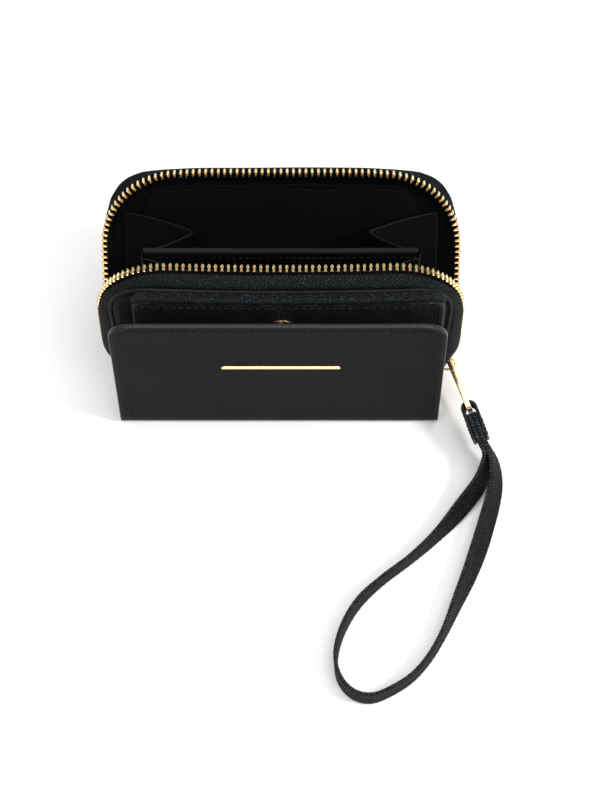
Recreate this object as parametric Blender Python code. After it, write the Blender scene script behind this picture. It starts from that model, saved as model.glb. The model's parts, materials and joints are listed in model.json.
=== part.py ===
"""Wristlet wallet, standing open on its spine.

Frame: origin on the floor under the middle of the spine, +Z up, +X to the right of a viewer who faces the
flap, -Y out of the flap side. The flap, the divider and the rear half are modelled upright, as if closed, and
leant to the open rest position by their parent empties. The slider body is modelled in the frame of the
slider_axis empty. Everything else is modelled in place. Lengths are in mm until add_piece scales them.
"""
import bpy
import bmesh
import math
from mathutils import Vector

MM = 0.001
GAP = 0.3                    # clearance between touching pieces
FRONT, REAR = -1, 1          # sign of Y on each side of the zip plane
SIDES = ((1, "right"), (-1, "left"))

# ---- driving dimensions, mm and degrees --------------------------------------------------------------------
# zip line, seen along Y with its half upright
ZIP_TOP = 90.0               # height above the floor
ZIP_FLAT = 36.0              # half length of the straight run across the top
CORNER_RX = 25.0             # corner, along X
CORNER_RZ = 28.0             # corner, along Z
ZIP_HALF = 61.0              # widest half width
RUN_X0, RUN_Z0 = 54.4, 18.0  # a point on the sloping straight run at the foot of the zip
RUN_SLOPE = 0.40             # dx/dz of that run
RUN_Z1 = 28.0                # the run ends here and curves to the full width
RUN_FOOT = 14.0              # below this the side of the spine is upright
SIDE_LEVELS = (RUN_FOOT, 21.0, RUN_Z1, 32.0, 36.0, 41.0, 50.0)  # heights at which the sides are cut

# leaves
BEND_Z = 22.0                # height of the line the leaves fan out from
REAR_LEAN = 37.0             # the rear half leans back
DIVIDER_LEAN = 14.4          # the divider leans back
FLAP_LEAN = 2.0              # the flap leans forward

# covers
PANEL_TOP = 88.0             # top of the flat cover panels
PANEL_HALF = 58.0            # half width near the top
PANEL_FOOT = 54.6            # half width at the floor
PANEL_WIDE_Z = 70.0          # height at which the full half width is reached
PANEL_R = 20.0               # corner radius
SKIN = 1.2                   # leather skin thickness
COVER_Y = 8.0                # outer face of the covers from the zip plane
WALL_Y = 3.6                 # free edge of the zip wall from the zip plane
FRONT_COVER_FOOT = 3.0
REAR_COVER_FOOT = 24.5

# zip teeth, tape and stops
TOOTH_PITCH = 2.1
TOOTH_WIDE = 1.15            # along the row
TOOTH_THICK = 2.4
TOOTH_TIP = 0.5              # tip of the teeth from the zip plane
CORD_Y0, CORD_Y1 = 2.2, 3.3  # cord the teeth stand on
ROW_INSET = 1.0              # middle of the row inside the zip line
ROW_SPARE = 2.0              # least length of a row left over after its pitches
TAPE_FOOT = 29.0
TAPE_IN_Y, TAPE_OUT_Y = 5.0, 3.65
TAPE_INSET, TAPE_THICK = SKIN + 0.9, 0.6
STOP_LONG = 2.6              # height of each stop

# front panel, pocket, flap and snap
PANEL_THICK = 1.0
PANEL_FACE = COVER_Y + GAP + PANEL_THICK
POCKET_LEFT, POCKET_RIGHT, POCKET_TOP = -48.7, 54.0, 84.8
POCKET_FACE = 13.0
POCKET_BACK = PANEL_FACE + GAP
FLAP_LEFT, FLAP_RIGHT = -56.4, 54.7
FLAP_LONG = 83.5             # height of its top edge when upright
FLAP_R = 8.5
FLAP_FACE = 17.0
FLAP_LAYER = 0.4             # thickness of the flap's board, lining and bar
FLAP_PIVOT = (0, -14.2, 1.2)
SNAP_Z = 68.5
SNAP_R = 5.0
SNAP_SIDES = 24


# ---- materials ---------------------------------------------------------------------------------------------
def make_material(name, colour, roughness, metallic=0.0):
    mat = bpy.data.materials.new(name)
    mat.use_nodes = True
    shader = mat.node_tree.nodes["Principled BSDF"]
    shader.inputs["Base Color"].default_value = (*colour, 1)
    shader.inputs["Roughness"].default_value = roughness
    shader.inputs["Metallic"].default_value = metallic
    return mat


for old in list(bpy.data.objects):
    bpy.data.objects.remove(old, do_unlink=True)

LEATHER = make_material("grained_leather", colour=(0.018, 0.019, 0.021), roughness=0.48)
SMOOTH_LEATHER = make_material("smooth_leather", colour=(0.022, 0.022, 0.024), roughness=0.4)
LINING = make_material("lining_fabric", colour=(0.006, 0.006, 0.008), roughness=0.7)
TAPE = make_material("zip_tape", colour=(0.010, 0.010, 0.011), roughness=0.85)
GOLD = make_material("gold_metal", colour=(0.83, 0.60, 0.28), roughness=0.25, metallic=1.0)
BOARD = make_material("board", colour=(0.05, 0.045, 0.04), roughness=0.9)
WEBBING = make_material("strap_webbing", colour=(0.013, 0.014, 0.016), roughness=0.75)


# ---- objects -----------------------------------------------------------------------------------------------
def add_axis(name, location, turn_x=0.0, turn_y=0.0):
    """An empty at a place in mm, turned by radians."""
    axis = bpy.data.objects.new(name, None)
    axis.location = Vector(location) * MM
    axis.rotation_euler = (turn_x, turn_y, 0)
    bpy.context.scene.collection.objects.link(axis)
    return axis


def add_hinge(name, pivot, turn_deg):
    """The parent and pivot that add_piece needs for a leaf turning about an X axis through pivot."""
    return {"parent": add_axis(name, pivot, turn_x=math.radians(turn_deg)), "pivot": pivot}


def add_piece(name, bm, mat, parent=None, pivot=(0, 0, 0)):
    """Turns a bmesh in mm into an object whose origin is at pivot."""
    bmesh.ops.translate(bm, verts=bm.verts, vec=-Vector(pivot))
    bmesh.ops.scale(bm, verts=bm.verts, vec=(MM, MM, MM))
    bmesh.ops.recalc_face_normals(bm, faces=bm.faces)
    mesh = bpy.data.meshes.new(name)
    bm.to_mesh(mesh)
    bm.free()
    mesh.shade_smooth()
    mesh.set_sharp_from_angle(angle=math.radians(35))
    mesh.materials.append(mat)
    piece = bpy.data.objects.new(name, mesh)
    bpy.context.scene.collection.objects.link(piece)
    if parent is None:
        piece.location = Vector(pivot) * MM
    else:
        piece.parent = parent


# ---- solids ------------------------------------------------------------------------------------------------
def add_verts(bm, points):
    return [bm.verts.new(p) for p in points]


def bridge(bm, first, second, closed=True):
    """Quads between two rows of vertices of equal length."""
    count = len(first)
    for i in range(count if closed else count - 1):
        j = (i + 1) % count
        bm.faces.new((first[i], first[j], second[j], second[i]))


def loft(rings):
    """Skins a list of closed rings of equal length and caps both ends."""
    bm = bmesh.new()
    rows = [add_verts(bm, ring) for ring in rings]
    for first, second in zip(rows, rows[1:]):
        bridge(bm, first, second)
    bm.faces.new(list(reversed(rows[0])))
    bm.faces.new(rows[-1])
    return bm


def looped_loft(rings):
    """Skins closed rings of equal length and joins the last ring to the first."""
    bm = bmesh.new()
    rows = [add_verts(bm, ring) for ring in rings]
    for first, second in zip(rows, rows[1:] + rows[:1]):
        bridge(bm, first, second)
    return bm


def at_y(outline, y):
    """An (x, z) outline as 3D points."""
    return [(x, y, z) for x, z in outline]


def slab(outline, y0, y1):
    """A flat sheet cut to an (x, z) outline."""
    return loft([at_y(outline, y0), at_y(outline, y1)])


def layer(outline, side, face, thick):
    """A slab on one side of the zip plane, with its outer face at a distance from that plane."""
    return slab(outline, side * face, side * (face - thick))


def box(low, high):
    (x0, y0, z0), (x1, y1, z1) = low, high
    return loft([[(x0, y0, z), (x1, y0, z), (x1, y1, z), (x0, y1, z)] for z in (z0, z1)])


def round_rect(x0, x1, z0, z1, r_top, r_bottom=0.0, steps=6, taper=0.0):
    """An upright outline with rounded top corners. taper brings each bottom corner in."""
    points = []

    def corner(cx, cz, radius, start):
        if radius <= 0:
            points.append((cx, cz))
            return
        for i in range(steps + 1):
            angle = start + math.pi / 2 * i / steps
            points.append((cx + radius * math.cos(angle), cz + radius * math.sin(angle)))

    corner(x1 - r_bottom - taper, z0 + r_bottom, r_bottom, -math.pi / 2)
    corner(x1 - r_top, z1 - r_top, r_top, 0)
    corner(x0 + r_top, z1 - r_top, r_top, math.pi / 2)
    corner(x0 + r_bottom + taper, z0 + r_bottom, r_bottom, math.pi)
    return points


def strip(x0, x1, z0, z1, radius):
    """The outline of a narrow strip with four small rounded corners."""
    return round_rect(x0, x1, z0, z1, radius, radius, steps=3)


def snap_circle(radius):
    """A circle of (x, z) points about the snap's centre."""
    angles = [2 * math.pi * i / SNAP_SIDES for i in range(SNAP_SIDES)]
    return [(radius * math.cos(a), SNAP_Z + radius * math.sin(a)) for a in angles]


def holed_slab(outline, hole, y0, y1):
    """A flat sheet with one hole through it."""
    bm = bmesh.new()
    faces = []
    for y in (y0, y1):
        loops = [add_verts(bm, at_y(points, y)) for points in (outline, hole)]
        edges = [bm.edges.new((a, b)) for loop in loops for a, b in zip(loop, loop[1:] + loop[:1])]
        bmesh.ops.triangle_fill(bm, use_beauty=True, use_dissolve=False, edges=edges)
        faces.append(loops)
    for first, second in zip(*faces):
        bridge(bm, first, second)
    return bm


# ---- outlines of the zip line and the covers ---------------------------------------------------------------
def zip_half(z):
    """Half width of the zip line on its sides at height z."""
    if z <= RUN_Z1:
        return RUN_X0 + RUN_SLOPE * (max(z, RUN_FOOT) - RUN_Z0)
    run_end = RUN_X0 + RUN_SLOPE * (RUN_Z1 - RUN_Z0)
    span = 2 * (ZIP_HALF - run_end) / RUN_SLOPE
    rise = min(z - RUN_Z1, span)
    return run_end + RUN_SLOPE * rise - RUN_SLOPE * rise * rise / (2 * span)


def row_half(z):
    """Half width of the middle of the teeth rows at height z."""
    return zip_half(z) - ROW_INSET


def side_levels(foot):
    """Heights of the cuts on the sides, shared so that every piece has the same bends."""
    return [foot] + [z for z in SIDE_LEVELS if z > foot + 1.0]


def arch_outline(side_points, flat, top, rx, rz, corner_z, corner=8, across=3):
    """(x, z) points from the right foot, round an elliptical corner and over the top to the left foot."""
    right = list(side_points)
    for i in range(corner + 1):
        angle = math.pi / 2 * i / corner
        right.append((flat + rx * math.cos(angle), corner_z + rz * math.sin(angle)))
    for i in range(1, across):
        right.append((flat * (1 - i / across), top))
    return right + [(0.0, top)] + [(-x, z) for x, z in reversed(right)]


def zip_outline(foot, inset=0.0, **steps):
    """The zip line, moved in along its normals by inset."""
    sides = [(zip_half(z), z) for z in side_levels(foot)]
    points = arch_outline(sides, ZIP_FLAT, ZIP_TOP, CORNER_RX, CORNER_RZ, ZIP_TOP - CORNER_RZ, **steps)
    if not inset:
        return points
    moved = []
    for i, (x, z) in enumerate(points):
        before, after = points[max(i - 1, 0)], points[min(i + 1, len(points) - 1)]
        dx, dz = after[0] - before[0], after[1] - before[1]
        length = math.hypot(dx, dz)
        moved.append((x - dz / length * inset, z + dx / length * inset))
    moved[0] = (moved[0][0], foot)
    moved[-1] = (moved[-1][0], foot)
    return moved


def panel_outline(foot, inset=0.0):
    """The flat panel's edge, with as many points as zip_outline so that the two can be joined."""
    corner_z = PANEL_TOP - PANEL_R
    stretch = (corner_z - foot) / (ZIP_TOP - CORNER_RZ - foot)
    sides = []
    for level in side_levels(foot):
        z = foot + (level - foot) * stretch
        half = PANEL_FOOT + (PANEL_HALF - PANEL_FOOT) * min(z / PANEL_WIDE_Z, 1.0)
        sides.append((half - inset, z))
    radius = PANEL_R - inset
    return arch_outline(sides, PANEL_HALF - PANEL_R, PANEL_TOP - inset, radius, radius, corner_z)


def wall_outline(foot, y, inset):
    """The inside of the zip wall at a distance y from the zip plane."""
    part = (COVER_Y - SKIN - y) / (COVER_Y - SKIN - WALL_Y)
    return [(a[0] + (b[0] - a[0]) * part, a[1] + (b[1] - a[1]) * part)
            for a, b in zip(panel_outline(foot, inset), zip_outline(foot, inset))]


# ---- pieces that both halves share -------------------------------------------------------------------------
def cover(foot, side):
    """A flat panel at COVER_Y with a wall that slopes from its edge to the zip line at WALL_Y."""
    bm = bmesh.new()
    rows = [add_verts(bm, at_y(outline, side * y)) for outline, y in (
        (panel_outline(foot), COVER_Y),
        (zip_outline(foot), WALL_Y),
        (zip_outline(foot, SKIN), WALL_Y),
        (panel_outline(foot, SKIN), COVER_Y - SKIN))]
    for first, second in zip(rows, rows[1:]):
        bridge(bm, first, second, closed=False)
    bm.faces.new(rows[0])
    bm.faces.new(list(reversed(rows[-1])))
    bm.faces.new([row[0] for row in rows] + [row[-1] for row in reversed(rows)])
    return bm


def zip_tape(side):
    """A strip along the inside of the zip wall."""
    inner = TAPE_INSET + TAPE_THICK
    edges = [at_y(wall_outline(TAPE_FOOT, y, inset), side * y) for y, inset in (
        (TAPE_IN_Y, TAPE_INSET), (TAPE_IN_Y, inner), (TAPE_OUT_Y, inner), (TAPE_OUT_Y, TAPE_INSET))]
    return loft(zip(*edges))


def running_lengths(points):
    lengths = [0.0]
    for a, b in zip(points, points[1:]):
        lengths.append(lengths[-1] + math.dist(a, b))
    return lengths


def point_at(points, lengths, distance):
    """The point at a distance along a line, and the unit direction of the line there."""
    distance = min(max(distance, 0.0), lengths[-1])
    i = 0
    while distance > lengths[i + 1] and i < len(lengths) - 2:
        i += 1
    span = lengths[i + 1] - lengths[i]
    part = (distance - lengths[i]) / span
    (ax, az), (bx, bz) = points[i], points[i + 1]
    return (ax + (bx - ax) * part, az + (bz - az) * part), ((bx - ax) / span, (bz - az) / span)


def teeth_row(foot, side, phase):
    """One row of teeth on its cord. phase shifts the teeth along the row, in pitches."""
    points = zip_outline(foot, ROW_INSET, corner=16, across=2)
    lengths = running_lengths(points)
    total = lengths[-1]
    count = int((total - ROW_SPARE) / TOOTH_PITCH)
    start = (total - (count - 1) * TOOTH_PITCH) / 2 + phase * TOOTH_PITCH

    # cuts across the row: distance along it, and whether a tooth starts there
    cuts = [(0.0, False)]
    for i in range(count - (1 if phase else 0)):
        centre = start + i * TOOTH_PITCH
        cuts.append((centre - TOOTH_WIDE / 2, True))
        cuts.append((centre + TOOTH_WIDE / 2, False))
    cuts.append((total, False))

    # at each cut an outer and an inner column of vertices: back of the cord, face of the cord, tooth tip
    bm = bmesh.new()
    columns = []
    for k, (distance, starts_tooth) in enumerate(cuts):
        (x, z), (dx, dz) = point_at(points, lengths, distance)
        off_x, off_z = dz * TOOTH_THICK / 2, -dx * TOOTH_THICK / 2
        depths = [CORD_Y1, CORD_Y0]
        if starts_tooth or (k > 0 and cuts[k - 1][1]):
            depths.append(TOOTH_TIP)
        columns.append([add_verts(bm, [(x + sign * off_x, side * y, z + sign * off_z) for y in depths])
                        for sign in (1, -1)])

    for (_, is_tooth), near, far in zip(cuts, columns, columns[1:]):
        last = 2 if is_tooth else 1
        for a, b in zip(near, far):
            bridge(bm, a[:last + 1], b[:last + 1], closed=False)
        for depth in (0, last):
            bm.faces.new((near[0][depth], far[0][depth], far[1][depth], near[1][depth]))
        if is_tooth:
            for outer, inner in (near, far):
                bm.faces.new((outer[1], outer[2], inner[2], inner[1]))
    for outer, inner in (columns[0], columns[-1]):
        bm.faces.new((outer[0], outer[1], inner[1], inner[0]))
    return bm


def top_stop(side, width_z, foot):
    """A block on the left end of a teeth row, placed by the row's width at width_z."""
    x = -row_half(width_z)
    return box((x - 1.5, side * 3.2, foot), (x + 1.5, side * TOOTH_TIP, foot + STOP_LONG))


def add_inner_layers(word, side, foot, pocket, **hinge):
    """Board, lining and slip pocket on the inside of a cover, from the outside in."""
    board_thick, lining_thick, pocket_thick = 0.5, 0.5, 0.4
    board_face = COVER_Y - SKIN - GAP
    lining_face = board_face - board_thick - GAP
    pocket_face = lining_face - lining_thick - GAP
    add_piece(word + "_board", layer(panel_outline(foot, 3.0), side, board_face, board_thick), BOARD, **hinge)
    add_piece(word + "_lining", layer(panel_outline(foot, 4.4), side, lining_face, lining_thick), LINING,
              **hinge)
    add_piece(word + "_slip_pocket", layer(pocket, side, pocket_face, pocket_thick), LINING, **hinge)


# ---- front half --------------------------------------------------------------------------------------------
add_piece("front_cover", cover(FRONT_COVER_FOOT, FRONT), LEATHER)
add_inner_layers("front", FRONT, foot=5.0, pocket=round_rect(-49, 49, 6, 79, 6))
add_piece("front_zip_tape", zip_tape(FRONT), TAPE)
add_piece("front_zip_teeth", teeth_row(24.5, FRONT, phase=0.0), GOLD)
add_piece("front_top_stop", top_stop(FRONT, width_z=22.3, foot=21.4), GOLD)

# ---- base --------------------------------------------------------------------------------------------------
BASE_HALF = 53.6
BASE_INNER_HALF = 52.0       # half length of the board and lining
BASE_LIP_Z = 2.7             # top of the short front lip
BASE_REAR_Z = 15.8           # top of the foot of the rear wall
BASE_BOARD_Z = SKIN + GAP
BASE_BOARD_THICK = 0.8
BASE_LINING_Z = BASE_BOARD_Z + BASE_BOARD_THICK + GAP
BASE_LINING_THICK = 0.4

# section of the skin, (y, z): outer face from the front lip to the rear wall, then the inner face back
BASE_SECTION = [
    (-COVER_Y, BASE_LIP_Z), (-COVER_Y, 0.9), (-COVER_Y + 0.5, 0.2), (-COVER_Y + 1.2, 0.0),
    (COVER_Y - 1.6, 0.0), (COVER_Y - 0.6, 0.5), (COVER_Y, 1.6), (COVER_Y, BASE_REAR_Z),
    (COVER_Y - SKIN, BASE_REAR_Z), (COVER_Y - SKIN, 2.0), (COVER_Y - SKIN - 0.8, SKIN),
    (-COVER_Y + SKIN + 0.4, SKIN), (-COVER_Y + SKIN, BASE_LIP_Z)]

add_piece("base_cover", loft([[(x, y, z) for y, z in BASE_SECTION] for x in (-BASE_HALF, BASE_HALF)]), LEATHER)
add_piece("base_board", box((-BASE_INNER_HALF, -5.2, BASE_BOARD_Z),
                            (BASE_INNER_HALF, 5.6, BASE_BOARD_Z + BASE_BOARD_THICK)), BOARD)
add_piece("base_lining", box((-BASE_INNER_HALF, -4.6, BASE_LINING_Z),
                             (BASE_INNER_HALF, 4.9, BASE_LINING_Z + BASE_LINING_THICK)), LINING)

# ---- zip ends at the spine ---------------------------------------------------------------------------------
TAIL_HALF_Y = 3.2
TAIL_THICK = 0.7
TAIL_Z0, TAIL_Z1 = 3.4, 13.0
TAIL_X = zip_half(RUN_FOOT) - 2.4     # outer face of the tails
for sign, word in SIDES:
    add_piece("zip_tail_" + word, box((sign * TAIL_X, -TAIL_HALF_Y, TAIL_Z0),
                                      (sign * (TAIL_X - TAIL_THICK), TAIL_HALF_Y, TAIL_Z1)), TAPE)

# a block across both rows at the right-hand foot of the zip
BOTTOM_STOP_X = row_half(RUN_FOOT)
BOTTOM_STOP_HALF = 1.3
BOTTOM_STOP_Z = 10.4
add_piece("bottom_stop", box((BOTTOM_STOP_X - BOTTOM_STOP_HALF, -2.6, BOTTOM_STOP_Z),
                             (BOTTOM_STOP_X + BOTTOM_STOP_HALF, 2.6, BOTTOM_STOP_Z + STOP_LONG)), GOLD)

# ---- panel, pocket and snap stud on the outside of the front cover -----------------------------------------
STUD_SEAT = POCKET_FACE + GAP
STUD_PROFILE = [             # radius, height above the seat
    (SNAP_R, 0.0), (SNAP_R, 0.4), (4.4, 0.65), (2.3, 0.65), (2.3, 1.1), (2.5, 1.5), (1.9, 1.8)]

add_piece("front_panel", layer(round_rect(-56.4, 56.4, 3.4, 87.2, 12.0, taper=3.0), FRONT,
                               PANEL_FACE, PANEL_THICK), LEATHER)
add_piece("pocket_panel", slab(round_rect(POCKET_LEFT, POCKET_RIGHT, 4.0, POCKET_TOP, 5.0),
                               -POCKET_FACE, -POCKET_BACK), LEATHER)
add_piece("pocket_edge", slab(strip(POCKET_LEFT + 1, POCKET_RIGHT - 1, POCKET_TOP + GAP, 87.5, 1.1),
                              -12.6, -POCKET_BACK), SMOOTH_LEATHER)
add_piece("snap_stud", loft([at_y(snap_circle(radius), -STUD_SEAT - height)
                             for radius, height in STUD_PROFILE]), GOLD)

# ---- zip slider, tilted along the sloping run --------------------------------------------------------------
SLIDER_Z = 18.0
SLIDER_CENTRE = Vector((row_half(SLIDER_Z), 0, SLIDER_Z))
SLIDER_TILT = math.atan(RUN_SLOPE)
PLATE_IN, PLATE_OUT = 1.55, 2.35      # faces of the two plates, along X from the slider's centre
WEDGE_FOOT = 1.6                      # lower edge of the wedge between the plates
PLATE_OUTLINE = [                     # y, z; the wedge meets the top edge at points 5 and 6
    (-2.6, -4.0), (2.6, -4.0), (2.9, -1.0), (3.3, 2.6), (2.2, 4.0),
    (0.3, 4.0), (-0.3, 4.0), (-2.2, 4.0), (-3.3, 2.6), (-2.9, -1.0)]


def slider_body():
    """Two plates joined by a wedge at the middle of their top edges."""
    bm = bmesh.new()
    wedge_rings = []
    for sign in (-1, 1):
        outer, inner = [add_verts(bm, [(sign * x, y, z) for y, z in PLATE_OUTLINE])
                        for x in (PLATE_OUT, PLATE_IN)]
        foot = add_verts(bm, [(sign * PLATE_IN, PLATE_OUTLINE[i][0], WEDGE_FOOT) for i in (5, 6)])
        bridge(bm, outer, inner)
        bm.faces.new(outer)
        bm.faces.new(inner[:6] + foot + inner[6:])
        wedge_rings.append([inner[5], *foot, inner[6]])
    bridge(bm, *wedge_rings)
    return bm


slider_axis = add_axis("slider_axis", SLIDER_CENTRE, turn_y=SLIDER_TILT)
add_piece("slider_body", slider_body(), GOLD, parent=slider_axis)


# ---- puller ------------------------------------------------------------------------------------------------
def square_to(vector, axis):
    """The unit vector square to a unit axis that is nearest to vector."""
    return (vector - vector.dot(axis) * axis).normalized()


def hairpin(first, through, leg):
    """A half turn from first to -first by way of through, with a straight leg at each end.

    Gives the unit normal and the offset of the turn's centre at each step."""
    steps = 8
    turn = []
    for i in range(steps + 1):
        angle = math.pi * i / steps
        turn.append((first * math.cos(angle) + through * math.sin(angle), Vector((0, 0, 0))))
    return [(first, through * -leg)] + turn + [(-first, through * -leg)]


PULL_LONG = 18.0             # between the centres of the end bars
PULL_WIDE = 11.0             # between the centres of the side bars
PULL_BAR = 1.8               # size of the square bar
PULL_CHAMFER = PULL_BAR * 0.22
INNER_BAR = Vector((58.7, -1.6, 15.8))                  # centre of the bar in the bail
bar_dir = Vector((0.16, 0.22, -1.05)).normalized()      # down along the end bars
pull_dir = square_to(Vector((0.67, -1.64, -0.29)), bar_dir)   # from the bail to the strap
OUTER_BAR = INNER_BAR + pull_dir * PULL_LONG


def puller_frame():
    """A rectangular loop of square bar with chamfered edges."""
    normal = pull_dir.cross(bar_dir).normalized()
    half = PULL_BAR / 2
    cut = half - PULL_CHAMFER
    # section of the bar: outward from its centre line, along the frame's normal
    section = [(-half, -cut), (-cut, -half), (cut, -half), (half, -cut),
               (half, cut), (cut, half), (-cut, half), (-half, cut)]
    # corners of the centre line: distance along the puller, sign of each outward direction
    corners = [(0.0, -1, -1), (PULL_LONG, 1, -1), (PULL_LONG, 1, 1), (0.0, -1, 1)]
    return looped_loft([
        [INNER_BAR + pull_dir * (length + sign_long * out)
         + bar_dir * (sign_wide * (PULL_WIDE / 2 + out)) + normal * lift for out, lift in section]
        for length, sign_long, sign_wide in corners])


add_piece("puller_frame", puller_frame(), GOLD, pivot=INNER_BAR)

BAIL_R = 2.3                 # centre line of the bail from the centre of the puller's inner bar
BAIL_HALF_THICK = 0.55
BAIL_HALF_WIDE = 0.8         # along the bar


def slider_bail():
    """An arch round the puller's inner bar, standing off the slider's outer plate."""
    plate_normal = Vector((math.cos(SLIDER_TILT), 0, -math.sin(SLIDER_TILT)))
    outward = square_to(plate_normal, bar_dir)
    sideways = bar_dir.cross(outward).normalized()
    plate_gap = (INNER_BAR - SLIDER_CENTRE).dot(plate_normal) - PLATE_OUT - GAP
    leg = plate_gap / outward.dot(plate_normal)
    rings = []
    for normal, shift in hairpin(sideways, outward, leg):
        centre = INNER_BAR + shift + normal * BAIL_R
        rings.append([centre + normal * (BAIL_HALF_THICK * math.cos(math.pi / 4 * k))
                      + bar_dir * (BAIL_HALF_WIDE * math.sin(math.pi / 4 * k)) for k in range(8)])
    return loft(rings)


add_piece("slider_bail", slider_bail(), GOLD, pivot=SLIDER_CENTRE)

# ---- leather tab folded round the puller's outer bar -------------------------------------------------------
TAB_LONG = 11.0
TAB_WIDE = 8.8
TAB_R = 1.75                 # inner radius of the fold
TAB_THICK = 1.15
tab_dir = square_to(Vector((0.38, -0.80, -0.57)), bar_dir)
tab_normal = bar_dir.cross(tab_dir).normalized()


def strap_tab():
    half = bar_dir * (TAB_WIDE / 2)
    rings = []
    for normal, shift in hairpin(tab_normal, -tab_dir, TAB_LONG):
        outer = OUTER_BAR + shift + normal * (TAB_R + TAB_THICK)
        inner = OUTER_BAR + shift + normal * TAB_R
        rings.append([outer - half, outer + half, inner + half, inner - half])
    return loft(rings)


add_piece("strap_tab", strap_tab(), SMOOTH_LEATHER, pivot=OUTER_BAR)

# ---- webbing loop, both ends held in the tab ---------------------------------------------------------------
WEB_WIDE = 10.0
WEB_THICK = 1.35
WEB_FLOOR_GAP = 0.1
WEB_END_OFFSET = WEB_THICK / 2 + 0.17 # middle of the webbing from the middle of the tab
WEB_STEPS = 3                         # rings per control station
WEB_START = OUTER_BAR + tab_dir * 4.0
TAB_MOUTH = OUTER_BAR + tab_dir * (TAB_LONG - 0.6)
WEB_STATIONS = [             # x, y, outward lean in degrees, lift of the centre above a floor rest
    (71, -34.9, 22, 5), (68.7, -42.2, 24, 2.4), (61.8, -51.4, 24, 0.6), (53.2, -61.3, 8, 0),
    (44.2, -69.8, 0, 0), (34.2, -77.8, 0, 0), (26.2, -85.8, 4, 0), (20.8, -95.3, 4, 0),
    (18.4, -104.8, 3, 0), (19.6, -112.6, 0, 0), (24, -118, 0, 0), (30.4, -119.6, 0, 0),
    (37.8, -116.6, 0, 0), (44.8, -111.6, 0, 0), (50.6, -104.4, -2, 0), (55.2, -96, -6, 0),
    (59.6, -85.8, -16, 0), (63.9, -75.8, -27, 0), (67.6, -65.8, -34, 0), (70.6, -56.2, -34, 0.2),
    (72.9, -48, -31, 1.5), (73.9, -41.2, -26, 3.4), (72.9, -34.7, -21, 5.4)]


def around(items, i):
    """The items before and after i, or i itself at an end."""
    return items[max(i - 1, 0)], items[min(i + 1, len(items) - 1)]


def web_controls():
    """Centres of the webbing and the directions of its width."""
    end_offset = tab_normal * WEB_END_OFFSET
    centres = [WEB_START + end_offset, TAB_MOUTH + end_offset]
    widths = [-bar_dir, -bar_dir]
    plan = [Vector((x, y, 0)) for x, y, _, _ in WEB_STATIONS]
    for i, (x, y, lean_deg, lift) in enumerate(WEB_STATIONS):
        before, after = around(plan, i)
        heading = (after - before).normalized()
        outward = Vector((heading.y, -heading.x, 0))
        lean = math.radians(lean_deg)
        rest = WEB_WIDE / 2 * math.cos(lean) + WEB_THICK / 2 * abs(math.sin(lean)) + WEB_FLOOR_GAP
        centres.append(Vector((x, y, rest + lift)))
        widths.append((outward * math.sin(lean) + Vector((0, 0, math.cos(lean)))).normalized())
    centres += [TAB_MOUTH - end_offset, WEB_START - end_offset]
    widths += [-bar_dir, -bar_dir]
    return centres, widths


def catmull_rom(points, t):
    """A smooth curve through the points, with point i at t = i."""
    i = min(int(t), len(points) - 2)
    f = t - i
    p1, p2 = points[i], points[i + 1]
    p0 = points[i - 1] if i > 0 else p1 * 2 - p2
    p3 = points[i + 2] if i + 2 < len(points) else p2 * 2 - p1
    return 0.5 * ((2 * p1) + (p2 - p0) * f + (2 * p0 - 5 * p1 + 4 * p2 - p3) * f * f
                  + (-p0 + 3 * p1 - 3 * p2 + p3) * f ** 3)


def strap_webbing():
    control_centres, control_widths = web_controls()
    places = [k / WEB_STEPS for k in range((len(control_centres) - 1) * WEB_STEPS + 1)]
    centres = [catmull_rom(control_centres, t) for t in places]
    rings = []
    for k, (t, centre) in enumerate(zip(places, centres)):
        before, after = around(centres, k)
        heading = (after - before).normalized()
        width = square_to(catmull_rom(control_widths, t).normalized(), heading)
        half_wide = width * (WEB_WIDE / 2)
        half_thick = heading.cross(width).normalized() * (WEB_THICK / 2)
        rings.append([centre - half_wide - half_thick, centre + half_wide - half_thick,
                      centre + half_wide + half_thick, centre - half_wide + half_thick])
    return loft(rings)


add_piece("strap_webbing", strap_webbing(), WEBBING, pivot=TAB_MOUTH)

# ---- flap --------------------------------------------------------------------------------------------------
FLAP_BOARD_FACE = FLAP_FACE - PANEL_THICK - GAP
FLAP_LINING_FACE = 14.4
SOCKET_FACE = FLAP_BOARD_FACE - FLAP_LAYER - GAP
SOCKET_THICK = 0.9
SOCKET_HOLE_R = 2.9


def flap_outline(inset, foot):
    return round_rect(FLAP_LEFT + inset, FLAP_RIGHT - inset, foot, FLAP_LONG - inset, FLAP_R - inset)


def snap_socket():
    """A washer facing the stud."""
    front, back = -SOCKET_FACE, -SOCKET_FACE + SOCKET_THICK
    return looped_loft([at_y(snap_circle(radius), y) for radius, y in (
        (SNAP_R, front), (SNAP_R, back), (SOCKET_HOLE_R, back), (SOCKET_HOLE_R, front))])


flap = add_hinge("flap_axis", FLAP_PIVOT, FLAP_LEAN)
add_piece("flap_outer", layer(flap_outline(0, foot=0.6), FRONT, FLAP_FACE, PANEL_THICK), LEATHER, **flap)
add_piece("flap_board", layer(flap_outline(2, foot=4.0), FRONT, FLAP_BOARD_FACE, FLAP_LAYER), BOARD, **flap)
add_piece("flap_lining", holed_slab(flap_outline(1, foot=2.2), snap_circle(SNAP_R + GAP),
                                    -FLAP_LINING_FACE, -FLAP_LINING_FACE + FLAP_LAYER), SMOOTH_LEATHER, **flap)
add_piece("snap_socket", snap_socket(), GOLD, **flap)
add_piece("flap_bar", layer(strip(-20, 20, 50.6, 52.4, 0.85), FRONT, FLAP_FACE + GAP + FLAP_LAYER, FLAP_LAYER),
          GOLD, **flap)

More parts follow.
